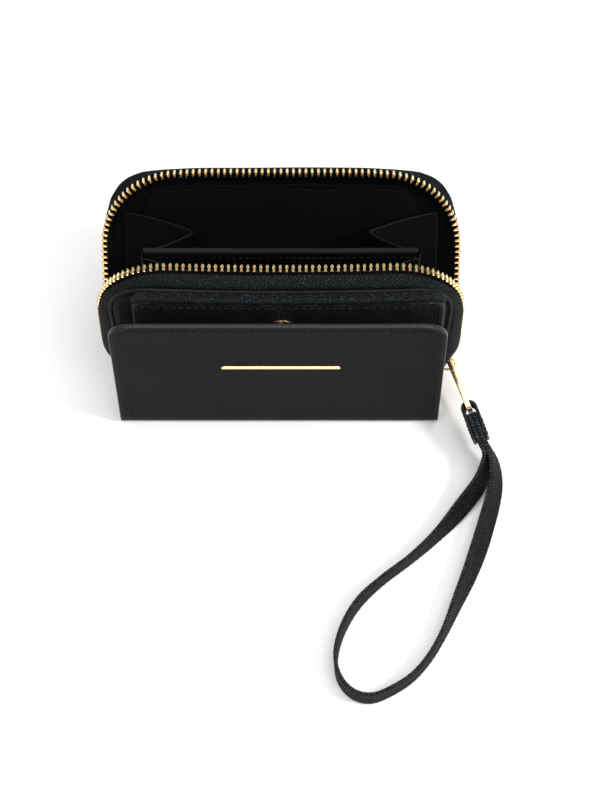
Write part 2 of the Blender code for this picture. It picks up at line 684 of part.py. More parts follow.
# ---- divider: two sheets, a strip over their top edges and an upright foot ---------------------------------
BEND_PIVOT = (0, 0, BEND_Z)
DIVIDER_HALF = 45.5
DIVIDER_FOOT, DIVIDER_TOP = 24.0, 73.6
divider_sheet = round_rect(-DIVIDER_HALF, DIVIDER_HALF, DIVIDER_FOOT, DIVIDER_TOP, 2.0)
divider_strip = strip(-DIVIDER_HALF, DIVIDER_HALF, DIVIDER_TOP + GAP, 76.4, 1.0)

divider = add_hinge("divider_axis", BEND_PIVOT, -DIVIDER_LEAN)
add_piece("divider_front", slab(divider_sheet, -1.2, -0.7), LINING, **divider)
add_piece("divider_rear", slab(divider_sheet, 0.4, 0.9), LINING, **divider)
add_piece("divider_binding", slab(divider_strip, -1.4, 1.1), SMOOTH_LEATHER, **divider)
add_piece("divider_foot", box((-45.0, -0.8, 3.4), (45.0, 0.6, 19.0)), LINING)

# ---- rear half ---------------------------------------------------------------------------------------------
rear = add_hinge("rear_axis", BEND_PIVOT, -REAR_LEAN)
add_piece("rear_cover", cover(REAR_COVER_FOOT, REAR), LEATHER, **rear)
add_inner_layers("rear", REAR, foot=26.0, pocket=round_rect(-44, 44, 27.0, 83.6, 6.0), **rear)
add_piece("rear_zip_tape", zip_tape(REAR), TAPE, **rear)
add_piece("rear_zip_teeth", teeth_row(27.5, REAR, phase=0.5), GOLD, **rear)
add_piece("rear_top_stop", top_stop(REAR, width_z=25.0, foot=24.2), GOLD, **rear)

# ---- accordion gussets: V-folded leaves between the halves and the divider ---------------------------------
GUSSET_Z0, GUSSET_Z1 = 32.0, 72.5     # foot and top, measured up the leaves
GUSSET_THICK = 0.6
COVER_EDGE_X, DIVIDER_EDGE_X = 53.0, 46.5
GUSSETS = [                  # name, fold x, then front edge and rear edge as (x, y when upright, lean)
    ("rear", 29.0, (DIVIDER_EDGE_X, 1.5, DIVIDER_LEAN), (COVER_EDGE_X, 3.9, REAR_LEAN)),
    ("front", 31.0, (COVER_EDGE_X, -3.9, 0.0), (DIVIDER_EDGE_X, -1.8, DIVIDER_LEAN))]


def leant(y, z, lean_deg):
    """The (y, z) of an upright point after it leans back about the bend line."""
    lean = math.radians(lean_deg)
    rise = z - BEND_Z
    return Vector((y * math.cos(lean) + rise * math.sin(lean),
                   BEND_Z - y * math.sin(lean) + rise * math.cos(lean)))


def gusset(sign, fold_x, front_edge, rear_edge):
    """A leaf from the front edge in to the fold and out to the rear edge."""
    front_x, front_y, front_lean = front_edge
    rear_x, rear_y, rear_lean = rear_edge
    bm = bmesh.new()
    rings = []
    for z in (GUSSET_Z0, GUSSET_Z1):
        a, b = leant(front_y, z, front_lean), leant(rear_y, z, rear_lean)
        middle = (a + b) / 2
        thick = (b - a).normalized() * GUSSET_THICK
        # where the inner faces of the two sides of the V meet
        slope = ((front_x + rear_x) / 2 - fold_x) / ((b - a).length / 2)
        inner_x = fold_x + GUSSET_THICK * slope
        section = [(front_x, a), (fold_x, middle), (rear_x, b),
                   (rear_x, b - thick), (inner_x, middle), (front_x, a + thick)]
        rings.append(add_verts(bm, [(sign * x, *yz) for x, yz in section]))
    low, high = rings
    for i in range(6):
        j = (i + 1) % 6
        # the leaf twists from foot to top, so each side is two flat triangles, cut alike on both faces
        if i in (3, 4):
            bm.faces.new((low[i], low[j], high[i]))
            bm.faces.new((low[j], high[j], high[i]))
        else:
            bm.faces.new((low[i], low[j], high[j]))
            bm.faces.new((low[i], high[j], high[i]))
    for ring in rings:
        for triangle in ((0, 1, 4), (0, 4, 5), (1, 2, 3), (1, 3, 4)):
            bm.faces.new([ring[k] for k in triangle])
    return bm


for word, fold_x, front_edge, rear_edge in GUSSETS:
    for sign, hand in SIDES:
        add_piece(f"gusset_{word}_{hand}", gusset(sign, fold_x, front_edge, rear_edge), LINING)
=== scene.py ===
"""Looks of the wristlet wallet: hide, lining, zip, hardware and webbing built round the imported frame.

Lengths are in mm until make() turns them into metres. X runs to the right and Z up. The wallet
stands on its spine at Z = 0, with the flap and pocket towards -Y. The front half is near upright,
the rear half leans back towards +Y, and the wrist loop lies on the floor in front of both.
"""
import bpy
import bmesh
import math
import json
import random
import numpy as np
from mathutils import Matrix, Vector, noise

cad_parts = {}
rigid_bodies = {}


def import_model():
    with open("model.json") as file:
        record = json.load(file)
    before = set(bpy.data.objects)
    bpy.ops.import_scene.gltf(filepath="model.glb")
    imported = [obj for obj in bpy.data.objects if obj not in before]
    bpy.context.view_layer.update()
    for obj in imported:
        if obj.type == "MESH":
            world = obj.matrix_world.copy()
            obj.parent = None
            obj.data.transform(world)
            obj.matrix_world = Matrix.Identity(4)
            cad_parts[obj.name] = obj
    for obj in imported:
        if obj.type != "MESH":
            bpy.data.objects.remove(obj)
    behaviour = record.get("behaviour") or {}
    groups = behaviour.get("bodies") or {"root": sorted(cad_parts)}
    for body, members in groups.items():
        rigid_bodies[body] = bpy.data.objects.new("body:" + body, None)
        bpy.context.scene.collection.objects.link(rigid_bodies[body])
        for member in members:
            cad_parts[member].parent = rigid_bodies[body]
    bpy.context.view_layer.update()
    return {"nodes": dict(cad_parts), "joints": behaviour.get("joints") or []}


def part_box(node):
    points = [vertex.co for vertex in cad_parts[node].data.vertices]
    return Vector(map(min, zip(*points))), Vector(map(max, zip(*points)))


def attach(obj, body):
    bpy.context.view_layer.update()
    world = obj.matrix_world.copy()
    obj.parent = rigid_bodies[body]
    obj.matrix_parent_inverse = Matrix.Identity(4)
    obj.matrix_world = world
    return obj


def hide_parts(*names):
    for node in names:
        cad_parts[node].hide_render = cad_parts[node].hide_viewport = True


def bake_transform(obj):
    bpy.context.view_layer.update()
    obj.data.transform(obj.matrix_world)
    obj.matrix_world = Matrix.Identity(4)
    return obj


for leftover in list(bpy.data.objects):
    bpy.data.objects.remove(leftover, do_unlink=True)

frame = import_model()
random.seed(7)
MM = 0.001
JOINTS = {joint["name"]: joint for joint in frame["joints"]}


def box_mm(node):
    low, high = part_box(node)
    return low / MM, high / MM


def joint_m(name):
    return JOINTS[name]["pos_m"]


# ---- dimensions, mm -----------------------------------------------------------------------------
cover_low, cover_high = box_mm("front_cover")
ZIP_TOP, ZIP_HALF = cover_high.z, cover_high.x
COVER_Y, WALL_Y = -cover_low.y, -cover_high.y    # cover face and zip wall, from the zip plane
BEND_Z = joint_m("rear_fold")[2] / MM
FLAP_Y, FLAP_Z = joint_m("flap_fold")[1] / MM, joint_m("flap_fold")[2] / MM
FLAP_LEFT, FLAP_RIGHT = box_mm("flap_outer")[0].x, box_mm("flap_outer")[1].x
POCKET_LEFT, POCKET_RIGHT = box_mm("pocket_panel")[0].x, box_mm("pocket_panel")[1].x

CORNER_RX, CORNER_RZ = 25.0, 28.0                # zip line's upper corners
ZIP_FLAT = ZIP_HALF - CORNER_RX
# The zip's sides: a straight slope up to RUN_Z1, then easing to upright
RUN_X0, RUN_Z0, RUN_SLOPE, RUN_Z1, RUN_FOOT = 54.4, 18.0, 0.40, 28.0, 14.0
ARCH_STEP, ARCH_TOP_STEPS = 2.6, 30
PANEL_TOP, PANEL_HALF, PANEL_FOOT, PANEL_R = 88.0, 58.0, 54.6, 20.0
SKIN = 1.2
TOOTH_PITCH = 2.1
TOOTH_LINE = 1.0                                 # inset of teeth and cord from the zip line
FLAP_LONG, FLAP_R = 83.5, 8.5
SNAP_Z = 68.5
FLAP_LEAN = 2.0


# ---- small geometry -----------------------------------------------------------------------------
def spread(start, end, steps):
    """Evenly spaced values, both ends included."""
    return [start + (end - start) * i / steps for i in range(steps + 1)]


def clamped(value):
    return max(0.0, min(1.0, value))


def ease(x, start, end):
    t = clamped((x - start) / (end - start))
    return t * t * (3 - 2 * t)


def wobble(x, y, z):
    return noise.noise(Vector((x, y, z)))


def quarter(steps):
    """(cosine, sine) over a quarter turn."""
    return [(math.cos(a), math.sin(a)) for a in spread(0, math.pi / 2, steps)]


def oval(a, b, n=16, power=2.0):
    """A rounded section, from an ellipse (power 2) towards a box."""
    points = []
    for i in range(n):
        c, s = math.cos(2 * math.pi * i / n), math.sin(2 * math.pi * i / n)
        points.append((a * math.copysign(abs(c) ** (2 / power), c),
                       b * math.copysign(abs(s) ** (2 / power), s)))
    return points


def square_to(vector, axis):
    """The unit direction of the part of a vector that is square to an axis."""
    return (vector - axis * vector.dot(axis)).normalized()


def mirrored(right):
    return [(-x, z) for x, z in reversed(right)]


def inset_line(points, inset):
    """An (x, z) line moved towards its left-hand side."""
    moved = []
    for i, (x, z) in enumerate(points):
        before, after = points[max(i - 1, 0)], points[min(i + 1, len(points) - 1)]
        dx, dz = after[0] - before[0], after[1] - before[1]
        long = math.hypot(dx, dz)
        moved.append((x - dz / long * inset, z + dx / long * inset))
    return moved


def arc_lengths(points):
    lengths = [0.0]
    for a, b in zip(points, points[1:]):
        lengths.append(lengths[-1] + (b - a).length)
    return lengths


def marks(lengths, distances):
    """(segment, fraction along it) for each of a rising run of distances."""
    found = []
    j = 0
    for d in distances:
        while j < len(lengths) - 2 and lengths[j + 1] < d:
            j += 1
        found.append((j, (d - lengths[j]) / max(lengths[j + 1] - lengths[j], 1e-9)))
    return found


# ---- poses: from an upright leaf to where its half stands ---------------------------------------
def lean_from(y, z, target):
    """Lean in degrees that brings the point (y, z) of an upright leaf to the target y."""
    low, high = 0.0, math.pi / 2
    for _ in range(60):
        middle = (low + high) / 2
        if y * math.cos(middle) + (z - BEND_Z) * math.sin(middle) < target:
            low = middle
        else:
            high = middle
    return math.degrees(low)


REAR_LEAN = lean_from(COVER_Y, PANEL_TOP, box_mm("rear_cover")[1].y)
DIVIDER_LEAN = lean_from(1.1, 76.4, box_mm("divider_binding")[1].y)


def leant(y, z, degrees):
    a = math.radians(degrees)
    rise = z - BEND_Z
    return (y * math.cos(a) + rise * math.sin(a), BEND_Z - y * math.sin(a) + rise * math.cos(a))


def rear_pose(p):
    """The rear half's shoulders sag a little where the zip turns down."""
    z = p[2] - 1.0 * ease(abs(p[0]), 24, 46) * (max(0.0, p[2] - 40) / 50) ** 2
    return (p[0], *leant(p[1], z, REAR_LEAN))


def divider_pose(p):
    return (p[0], *leant(p[1], p[2], DIVIDER_LEAN))


def flap_pose(p):
    a = math.radians(FLAP_LEAN)
    y, z = p[1] - FLAP_Y, p[2] - FLAP_Z
    return (p[0], FLAP_Y + y * math.cos(a) - z * math.sin(a),
            FLAP_Z + y * math.sin(a) + z * math.cos(a))


def front_pose(p):
    """The front half's corners are drawn back, which leaves its top edge bowed forward."""
    middle = max(0.0, 1 - (p[0] / 58.0) ** 2)
    return (p[0], p[1] + (2.0 - 1.6 * middle) * max(0.0, p[2] / ZIP_TOP) ** 2, p[2])


HALVES = {"front": (-1, front_pose), "rear": (1, rear_pose)}     # side of the zip plane, pose


def posed(rows, pose):
    return [[pose(p) for p in row] for row in rows]


def direction(pose, step):
    return Vector(pose(step)) - Vector(pose((0, 0, 0)))


# ---- materials ----------------------------------------------------------------------------------
class Wire:
    """A node's output, on which shader sums are written as plain sums."""

    def __init__(self, shader, socket):
        self.shader = shader
        self.socket = socket

    def __add__(self, other):
        return self.shader.math("ADD", self, other)

    def __sub__(self, other):
        return self.shader.math("SUBTRACT", self, other)

    def __rsub__(self, other):
        return self.shader.math("SUBTRACT", other, self)

    def __mul__(self, other):
        return self.shader.math("MULTIPLY", self, other)

    def sine(self):
        return self.shader.math("SINE", self)

    def remap(self, span, to=(0.0, 1.0)):
        return self.shader.node("ShaderNodeMapRange", {
            "From Min": span[0], "From Max": span[1], "To Min": to[0], "To Max": to[1],
            "Value": self}, "Result")


class Shader:
    """Short forms for wiring a node material. Pattern sizes are per mm."""

    def __init__(self, name, base, rough, specular, metal=0.0):
        self.material = bpy.data.materials.new(name)
        self.material.use_nodes = True
        self.tree = self.material.node_tree
        self.surface = self.tree.nodes["Principled BSDF"].inputs
        self.surface["Base Color"].default_value = (*base, 1)
        self.surface["Roughness"].default_value = rough
        self.surface["Metallic"].default_value = metal
        self.surface["Specular IOR Level"].default_value = specular

    def feed(self, socket, value):
        if isinstance(value, Wire):
            self.tree.links.new(value.socket, socket)
        else:
            socket.default_value = value

    def node(self, kind, inputs, output, **settings):
        made = self.tree.nodes.new(kind)
        for key, value in settings.items():
            setattr(made, key, value)
        for key, value in inputs.items():
            self.feed(made.inputs[key], value)
        return Wire(self, made.outputs[output])

    def coords(self, kind="Object", scale=(1000, 1000, 1000)):
        source = self.node("ShaderNodeTexCoord", {}, kind)
        return self.node("ShaderNodeMapping", {"Scale": scale, "Vector": source}, "Vector")

    def uv(self):
        return self.coords("UV", scale=(1, 1, 1))

    def split(self, vector):
        first = self.node("ShaderNodeSeparateXYZ", {"Vector": vector}, 0)
        return [Wire(self, socket) for socket in first.socket.node.outputs]

    def math(self, operation, *values):
        return self.node("ShaderNodeMath", dict(enumerate(values)), 0, operation=operation)

    def noise(self, vector, scale, detail=3.0, rough=0.55):
        return self.node("ShaderNodeTexNoise", {
            "Scale": scale, "Detail": detail, "Roughness": rough, "Vector": vector}, "Fac")

    def voronoi(self, vector, scale, feature="F1", randomness=0.9):
        return self.node("ShaderNodeTexVoronoi", {
            "Scale": scale, "Randomness": randomness, "Vector": vector}, "Distance",
            feature=feature)

    def mix(self, factor, a, b):
        a, b = [v if isinstance(v, Wire) else (*v, 1) for v in (a, b)]
        return self.node("ShaderNodeMix", {0: factor, 6: a, 7: b}, 2, data_type="RGBA")

    def bump(self, height, depth, strength=1.0, after=None):
        inputs = {"Strength": strength, "Distance": depth * MM, "Height": height}
        if after is not None:
            inputs["Normal"] = after
        return self.node("ShaderNodeBump", inputs, "Normal")

    def pointiness(self, span):
        return self.node("ShaderNodeNewGeometry", {}, "Pointiness").remap(span)

    def wear(self):
        return self.pointiness(span=(0.505, 0.58))

    def finish(self, colour, rough, normal):
        self.feed(self.surface["Base Color"], colour)
        self.feed(self.surface["Roughness"], rough)
        self.feed(self.surface["Normal"], normal)
        return self.material


def shade(colour, gain, lift=0.0):
    return tuple(c * gain + lift for c in colour)


def grained(name, base, light, rough, specular, cell, depth, hatch, painted_glint_specks=0.0, painted_glint_colour=None):
    """Cross-grained hide: fine pebbles along two crossing diagonals, broadly uneven, with optional
    painted glint specks on the raised grain.
    """
    t = Shader(name, base, rough, specular)
    place = t.coords()
    x, y, z = t.split(place)
    warp = t.noise(place, scale=0.35, detail=2) * 2.2
    rising = x + y * 0.6 + z
    falling = x - y * 0.6 - z
    rising_wave = (rising * 5.6 + warp).sine()
    falling_wave = (falling * 4.1 + warp).sine()
    weave = rising_wave * falling_wave * 0.5 + 0.5
    pebbles = t.voronoi(place, scale=1.0 / cell).remap(span=(0.0, 0.62), to=(1.0, 0.0))
    fine = t.noise(place, scale=5.5, detail=4)
    height = pebbles * (1.0 - hatch) + weave * hatch
    height = height + fine * 0.35
    broad = t.noise(place, scale=0.045, detail=3)
    colour = t.mix(height.remap(span=(0.35, 1.15)), base, light)
    colour = t.mix(broad.remap(span=(0.3, 0.7), to=(0.0, 0.35)), colour, shade(base, gain=0.7))
    colour = t.mix(t.wear() * 0.5, colour, shade(light, gain=2.6, lift=0.012))
    # painted highlight: bright glint specks on the raised grain
    if painted_glint_specks:
        bright = (t.noise(place, scale=1.7, detail=2, rough=0.5).remap(span=(0.55, 0.68))
                  * weave.remap(span=(0.35, 0.8)))
        colour = t.mix(bright * painted_glint_specks, colour, painted_glint_colour)
    return t.finish(
        colour,
        height.remap(span=(0.3, 1.1), to=(rough + 0.08, rough - 0.06)) + broad * 0.06,
        t.bump(height, depth, after=t.bump(t.noise(place, scale=0.14, detail=2),
                                           depth=0.25, strength=0.5)))


def smooth_hide(name, base, light, rough, specular):
    t = Shader(name, base, rough, specular)
    place = t.coords()
    creases = t.voronoi(place, scale=1.4, feature="DISTANCE_TO_EDGE", randomness=1.0)
    fine = t.noise(place, scale=4.0, detail=5, rough=0.6)
    height = creases.remap(span=(0.0, 0.12), to=(0.0, 0.6)) + fine * 0.6
    cloud = t.noise(place, scale=0.12, detail=3).remap(span=(0.3, 0.7))
    colour = t.mix(cloud, base, light)
    colour = t.mix(t.wear() * 0.45, colour, shade(light, gain=2.2, lift=0.02))
    return t.finish(colour, fine.remap(span=(0.3, 0.7), to=(rough - 0.05, rough + 0.08)),
                    t.bump(height, depth=0.02))


def edge_paint(name, base, light, rough, specular):
    """Sealed cut edge: even paint with faint mottling and small pits."""
    t = Shader(name, base, rough, specular)
    place = t.coords()
    fine = t.noise(place, scale=1.1, detail=4)
    pits = t.voronoi(place, scale=0.9).remap(span=(0.0, 0.16))
    return t.finish(t.mix(fine.remap(span=(0.35, 0.65)), base, light),
                    fine.remap(span=(0.3, 0.7), to=(rough - 0.06, rough + 0.12)),
                    t.bump(pits + fine, depth=0.02))


def cloth(name, base, light, rough, specular, per_mm, depth, twill=False):
    """Woven cloth on the piece's own run and width: plain weave, or a diagonal twill."""
    t = Shader(name, base, rough, specular)
    run = t.uv()
    place = t.coords()
    x, y = t.split(run)[:2]
    wave = per_mm * math.pi
    warp = t.math("ABSOLUTE", (x * wave).sine())
    weft = t.math("ABSOLUTE", (y * wave).sine())
    if twill:
        diagonal = ((x + y) * wave).sine()
        height = diagonal * 0.6 + warp * weft * 0.6
    else:
        height = warp * weft
    slub = t.noise(place, scale=1.3, detail=4)
    height = height + slub * 0.5
    colour = t.mix(height.remap(span=(0.1, 1.2)), base, light)
    cloud = t.noise(place, scale=0.05, detail=3).remap(span=(0.3, 0.7), to=(0, 0.4))
    colour = t.mix(cloud, colour, shade(base, gain=0.6))
    return t.finish(colour, slub.remap(span=(0.3, 0.7), to=(rough - 0.07, rough + 0.07)),
                    t.bump(height, depth))


def ribbed_weave(name, base, light, painted_glint_colour, rough, specular, across, turn_width, slant, rib_pitch,
                 yarn_pitch, yarn_height, fuzz_scale, fuzz_height, glint_scale, glint_span,
                 glint_ribs, glint_amount, rough_to, selvedge=None):
    """Diagonal ribs that turn back across the width, with painted glint specks on the rib crests.

    across is the UV axis (0 or 1) over the width; selvedge is the spacing of its beaded edges, whose
    beads get painted highlights.
    """
    t = Shader(name, base, rough, specular)
    uv = t.uv()
    place = t.coords()
    axes = t.split(uv)
    width, run = axes[across], axes[1 - across]
    turn = t.math("PINGPONG", width, turn_width)
    rib = ((turn * slant + run) * (2 * math.pi / rib_pitch)).sine()
    yarn = (width * (2 * math.pi / yarn_pitch)).sine()
    height = rib * 0.5 + yarn * yarn_height
    height = height + t.noise(place, fuzz_scale, detail=4, rough=0.65) * fuzz_height
    colour = t.mix(height.remap(span=(-0.1, 0.95)), base, light)
    # painted highlight: bright glint specks on the rib crests
    painted_glint_specks = (t.noise(place, glint_scale, detail=2, rough=0.5).remap(glint_span)
             * rib.remap(glint_ribs))
    colour = t.mix(painted_glint_specks * glint_amount, colour, painted_glint_colour)
    if selvedge:
        # painted highlight: bright beads dotted along the selvedges
        fold = t.math("PINGPONG", width, selvedge)
        rim = t.math("MINIMUM", fold, selvedge - fold).remap(span=(0.45, 0.95), to=(1.0, 0.0))
        bead = (run * (2 * math.pi / rib_pitch)).sine().remap(span=(0.05, 0.75))
        bead = rim * bead * t.noise(place, scale=1.1, detail=2).remap(span=(0.42, 0.6),
                                                                       to=(0.15, 1.0))
        colour = t.mix(bead * 0.6, colour, painted_glint_colour)
    return t.finish(colour, height.remap(span=(-0.2, 1.0), to=rough_to),
                    t.bump(height, depth=0.09))


def plated(name, base, rough):
    """Light gold plate with polish variation, fine rub marks and painted shade in the recesses."""
    t = Shader(name, base, rough, specular=0.5, metal=1.0)
    place = t.coords()
    stretched = t.coords(scale=(1000, 1000, 90))
    rub = t.noise(stretched, scale=3.0, detail=4)
    cloud = t.noise(place, scale=0.6, detail=3)
    raised = t.pointiness(span=(0.40, 0.5))
    # painted shade: the hollows are coloured a darker brown gold
    recess_painted_shade = tuple(c * gain for c, gain in zip(base, (0.55, 0.42, 0.28)))
    colour = t.mix(raised, recess_painted_shade, base)
    colour = t.mix(cloud.remap(span=(0.35, 0.7), to=(0, 0.35)), colour, (1.0, 0.86, 0.58))
    return t.finish(colour,
                    rub.remap(span=(0.3, 0.7), to=(rough - 0.04, rough + 0.06))
                    + cloud.remap(span=(0.3, 0.7), to=(0, 0.06)),
                    t.bump(rub, depth=0.0015))


def pulp(name, base):
    """Stiffener board: pressed fibre with flecks."""
    t = Shader(name, base, rough=0.9, specular=0.2)
    place = t.coords()
    fibre = t.noise(place, scale=2.4, detail=6, rough=0.7)
    flecks = t.voronoi(place, scale=1.2).remap(span=(0.0, 0.12), to=(1.0, 0.0))
    return t.finish(t.mix(fibre, base, shade(base, gain=1.9)),
                    flecks.remap(span=(0, 1), to=(0.92, 0.8)), t.bump(fibre, depth=0.05))


def thread(name, base):
    """Sewing thread with a slanting twist."""
    t = Shader(name, base, rough=0.55, specular=0.12)
    x, y = t.split(t.uv())[:2]
    twist = (x * 16.0 + y * 6.2832).sine()
    return t.finish(t.mix(twist.remap(span=(-1, 1)), base, shade(base, gain=2.4)),
                    t.noise(t.coords(), scale=2.0).remap(span=(0.3, 0.7), to=(0.42, 0.6)),
                    t.bump(twist, depth=0.03))


GRAIN = grained("grained_hide", base=(0.0036, 0.0040, 0.0050), light=(0.0165, 0.0178, 0.0205),
                rough=0.60, specular=0.05, cell=0.42, depth=0.10, hatch=0.65)
# painted highlight: the woven zip wall gets bright glint specks on its ribs
BAND = ribbed_weave("woven_wall", base=(0.0010, 0.0014, 0.0014), light=(0.0120, 0.0148, 0.0146),
                    painted_glint_colour=(0.120, 0.142, 0.138), rough=0.74, specular=0.05, across=0,
                    turn_width=1.9, slant=1.15, rib_pitch=0.95, yarn_pitch=0.42,
                    yarn_height=0.18, fuzz_scale=2.4, fuzz_height=0.8, glint_scale=3.1,
                    glint_span=(0.58, 0.70), glint_ribs=(0.0, 0.8), glint_amount=0.8,
                    rough_to=(0.80, 0.60))
# The pocket leaf and its rolled edge are one leather in two copies: the leaf's is painted lighter, as
# lit, and the roll's is painted darker, as shade.
POCKET_GRAIN_PAINTED_LIGHTER = grained("grained_hide_pocket_painted_lighter", base=(0.0040, 0.0046, 0.0052),
                       light=(0.0300, 0.0335, 0.0365), rough=0.58, specular=0.04, cell=0.44,
                       depth=0.12, hatch=0.8, painted_glint_specks=0.5, painted_glint_colour=(0.075, 0.085, 0.092))
ROLL_GRAIN_PAINTED_SHADE = grained("grained_hide_roll_painted_shade", base=(0.0012, 0.0016, 0.0020),
                     light=(0.0085, 0.0102, 0.0115), rough=0.60, specular=0.03, cell=0.44,
                     depth=0.12, hatch=0.8, painted_glint_specks=0.8, painted_glint_colour=(0.062, 0.070, 0.076))
SMOOTH = smooth_hide("smooth_hide", base=(0.0022, 0.0025, 0.0030),
                     light=(0.0065, 0.0072, 0.0082), rough=0.46, specular=0.05)
PAINT = edge_paint("painted_edge", base=(0.014, 0.0152, 0.0175), light=(0.023, 0.0245, 0.028),
                   rough=0.38, specular=0.2)
DARK_PAINT = edge_paint("painted_edge_dark", base=(0.004, 0.0046, 0.0056),
                        light=(0.010, 0.011, 0.013), rough=0.38, specular=0.15)
LINING = cloth("lining_cloth", base=(0.0011, 0.0014, 0.0018), light=(0.0030, 0.0036, 0.0044),
               rough=0.62, specular=0.035, per_mm=2.6, depth=0.03)
# Painted highlight: the divider's binding and the gussets' rims get a lighter copy of the lining cloth,
# as if their edges catch the light.
EDGE_CLOTH_PAINTED_HIGHLIGHT = cloth("turned_edge_cloth_painted_highlight", base=(0.0040, 0.0046, 0.0052),
                   light=(0.0190, 0.0208, 0.0230), rough=0.58, specular=0.07, per_mm=1.9,
                   depth=0.05)
TAPE = cloth("zip_tape_cloth", base=(0.0014, 0.0017, 0.0019), light=(0.0080, 0.0092, 0.0098),
             rough=0.85, specular=0.04, per_mm=1.4, depth=0.08, twill=True)
# painted highlight: the webbing gets bright glint specks on its ribs and bright beads on its selvedges
WEB = ribbed_weave("webbing_cloth", base=(0.0012, 0.0015, 0.0021),
                   light=(0.0095, 0.0112, 0.0132), painted_glint_colour=(0.105, 0.120, 0.130), rough=0.66,
                   specular=0.07, across=1, turn_width=2.5, slant=0.9, rib_pitch=1.05,
                   yarn_pitch=0.5, yarn_height=0.2, fuzz_scale=2.0, fuzz_height=0.7,
                   glint_scale=2.6, glint_span=(0.57, 0.68), glint_ribs=(-0.2, 0.7),
                   glint_amount=0.75, rough_to=(0.72, 0.48), selvedge=10.45)
GOLD = plated("gold_plate", base=(0.96, 0.72, 0.38), rough=0.17)
BOARD = pulp("fibre_board", base=(0.03, 0.026, 0.022))
THREAD = thread("black_thread", base=(0.0070, 0.0077, 0.0090))


# ---- mesh builders ------------------------------------------------------------------------------
def make(name, verts, faces, mats, uv, smooth, face_mats=None):
    """A mesh object from mm points. uv holds one (u, v) in mm per face corner."""
    mesh = bpy.data.meshes.new(name)
    mesh.from_pydata([tuple(c * MM for c in p) for p in verts], [], faces)
    for mat in mats:
        mesh.materials.append(mat)
    if face_mats is not None:
        mesh.polygons.foreach_set("material_index", face_mats)
    layer = mesh.uv_layers.new(name="UVMap")
    layer.data.foreach_set("uv", [c for face in uv for corner in face for c in corner])
    bm = bmesh.new()
    bm.from_mesh(mesh)
    bmesh.ops.recalc_face_normals(bm, faces=bm.faces)
    bm.to_mesh(mesh)
    bm.free()
    mesh.shade_smooth()
    mesh.set_sharp_from_angle(angle=math.radians(smooth))
    ob = bpy.data.objects.new(name, mesh)
    bpy.context.scene.collection.objects.link(ob)
    return ob


def register(ob, body, node):
    """body is one body's name, or (body, body, start, end) for a piece between two; such a piece is
    only baked in place and parented to neither, and its bodies, start and end are not used.

    node is the frame piece or pieces that the object takes the place of.
    """
    if isinstance(body, tuple):
        first, second, start, end = body
        tuple(c * MM for c in start)
        tuple(c * MM for c in end)
        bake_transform(ob)
    else:
        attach(ob, body)
    if node:
        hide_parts(*([node] if isinstance(node, str) else node))


def unit(vectors):
    return vectors / np.maximum(np.linalg.norm(vectors, axis=-1, keepdims=True), 1e-9)


def running(steps):
    return np.concatenate([[0], np.cumsum(steps)])


def sheet(name, rows, thick, mat, body, node=(), rim=None, rim_from=None, reach=None, steps=4):
    """A closed sheet round the middle surface rows[row][column], its edge rounded all round.

    reach is how far the rounding runs in; rim is the edge's material, and also that of the
    columns from rim_from on.
    """
    points = np.array(rows, float)
    R, C = points.shape[:2]
    normals = unit(np.cross(np.gradient(points, axis=1), np.gradient(points, axis=0)))
    points_flat, normals_flat = points.reshape(-1, 3), normals.reshape(-1, 3)
    border = [(0, c) for c in range(C)] + [(r, C - 1) for r in range(1, R)] + \
             [(R - 1, c) for c in range(C - 2, -1, -1)] + [(r, 0) for r in range(R - 2, 0, -1)]
    ids = np.array([r * C + c for r, c in border])
    edge, edge_normals = points_flat[ids], normals_flat[ids]
    outward = np.cross(unit(np.roll(edge, -1, 0) - np.roll(edge, 1, 0)), edge_normals)
    if ((edge - points_flat.mean(0)) * outward).sum() < 0:
        outward = -outward
    half = thick / 2
    reach = half if reach is None else reach
    faces_mid = points_flat.copy()
    faces_mid[ids] -= outward * reach
    verts = [tuple(p) for p in faces_mid + normals_flat * half]
    verts += [tuple(p) for p in faces_mid - normals_flat * half]
    count = len(ids)
    rings = [list(ids)]
    for k in range(1, 2 * steps):
        a = math.pi / 2 - math.pi * k / (2 * steps)
        rings.append(list(range(len(verts), len(verts) + count)))
        ring = edge - outward * reach * (1 - math.cos(a)) + edge_normals * half * math.sin(a)
        verts += [tuple(p) for p in ring]
    rings.append(list(ids + R * C))
    u = running(np.linalg.norm(np.diff(points, axis=1), axis=2).mean(0))
    v = running(np.linalg.norm(np.diff(points, axis=0), axis=2).mean(1))
    faces, face_mats, uv = [], [], []
    for r in range(R - 1):
        for c in range(C - 1):
            quad = [r * C + c, r * C + c + 1, (r + 1) * C + c + 1, (r + 1) * C + c]
            corners = [(u[c], v[r]), (u[c + 1], v[r]), (u[c + 1], v[r + 1]), (u[c], v[r + 1])]
            faces += [quad, [i + R * C for i in reversed(quad)]]
            uv += [corners, corners[::-1]]
            face_mats += [1 if rim_from and c >= rim_from else 0] * 2
    run = running(np.linalg.norm(np.roll(edge, -1, 0) - edge, axis=1))
    width = thick / (2 * steps)
    for k in range(2 * steps):
        a, b = rings[k], rings[k + 1]
        for i in range(count):
            j = (i + 1) % count
            faces.append([a[i], a[j], b[j], b[i]])
            uv.append([(run[i], width * k), (run[i + 1], width * k),
                       (run[i + 1], width * (k + 1)), (run[i], width * (k + 1))])
            face_mats.append(1 if rim else 0)
    mats = [mat, rim] if rim else [mat]
    register(make(name, verts, faces, mats, uv, 50, face_mats), body, node)


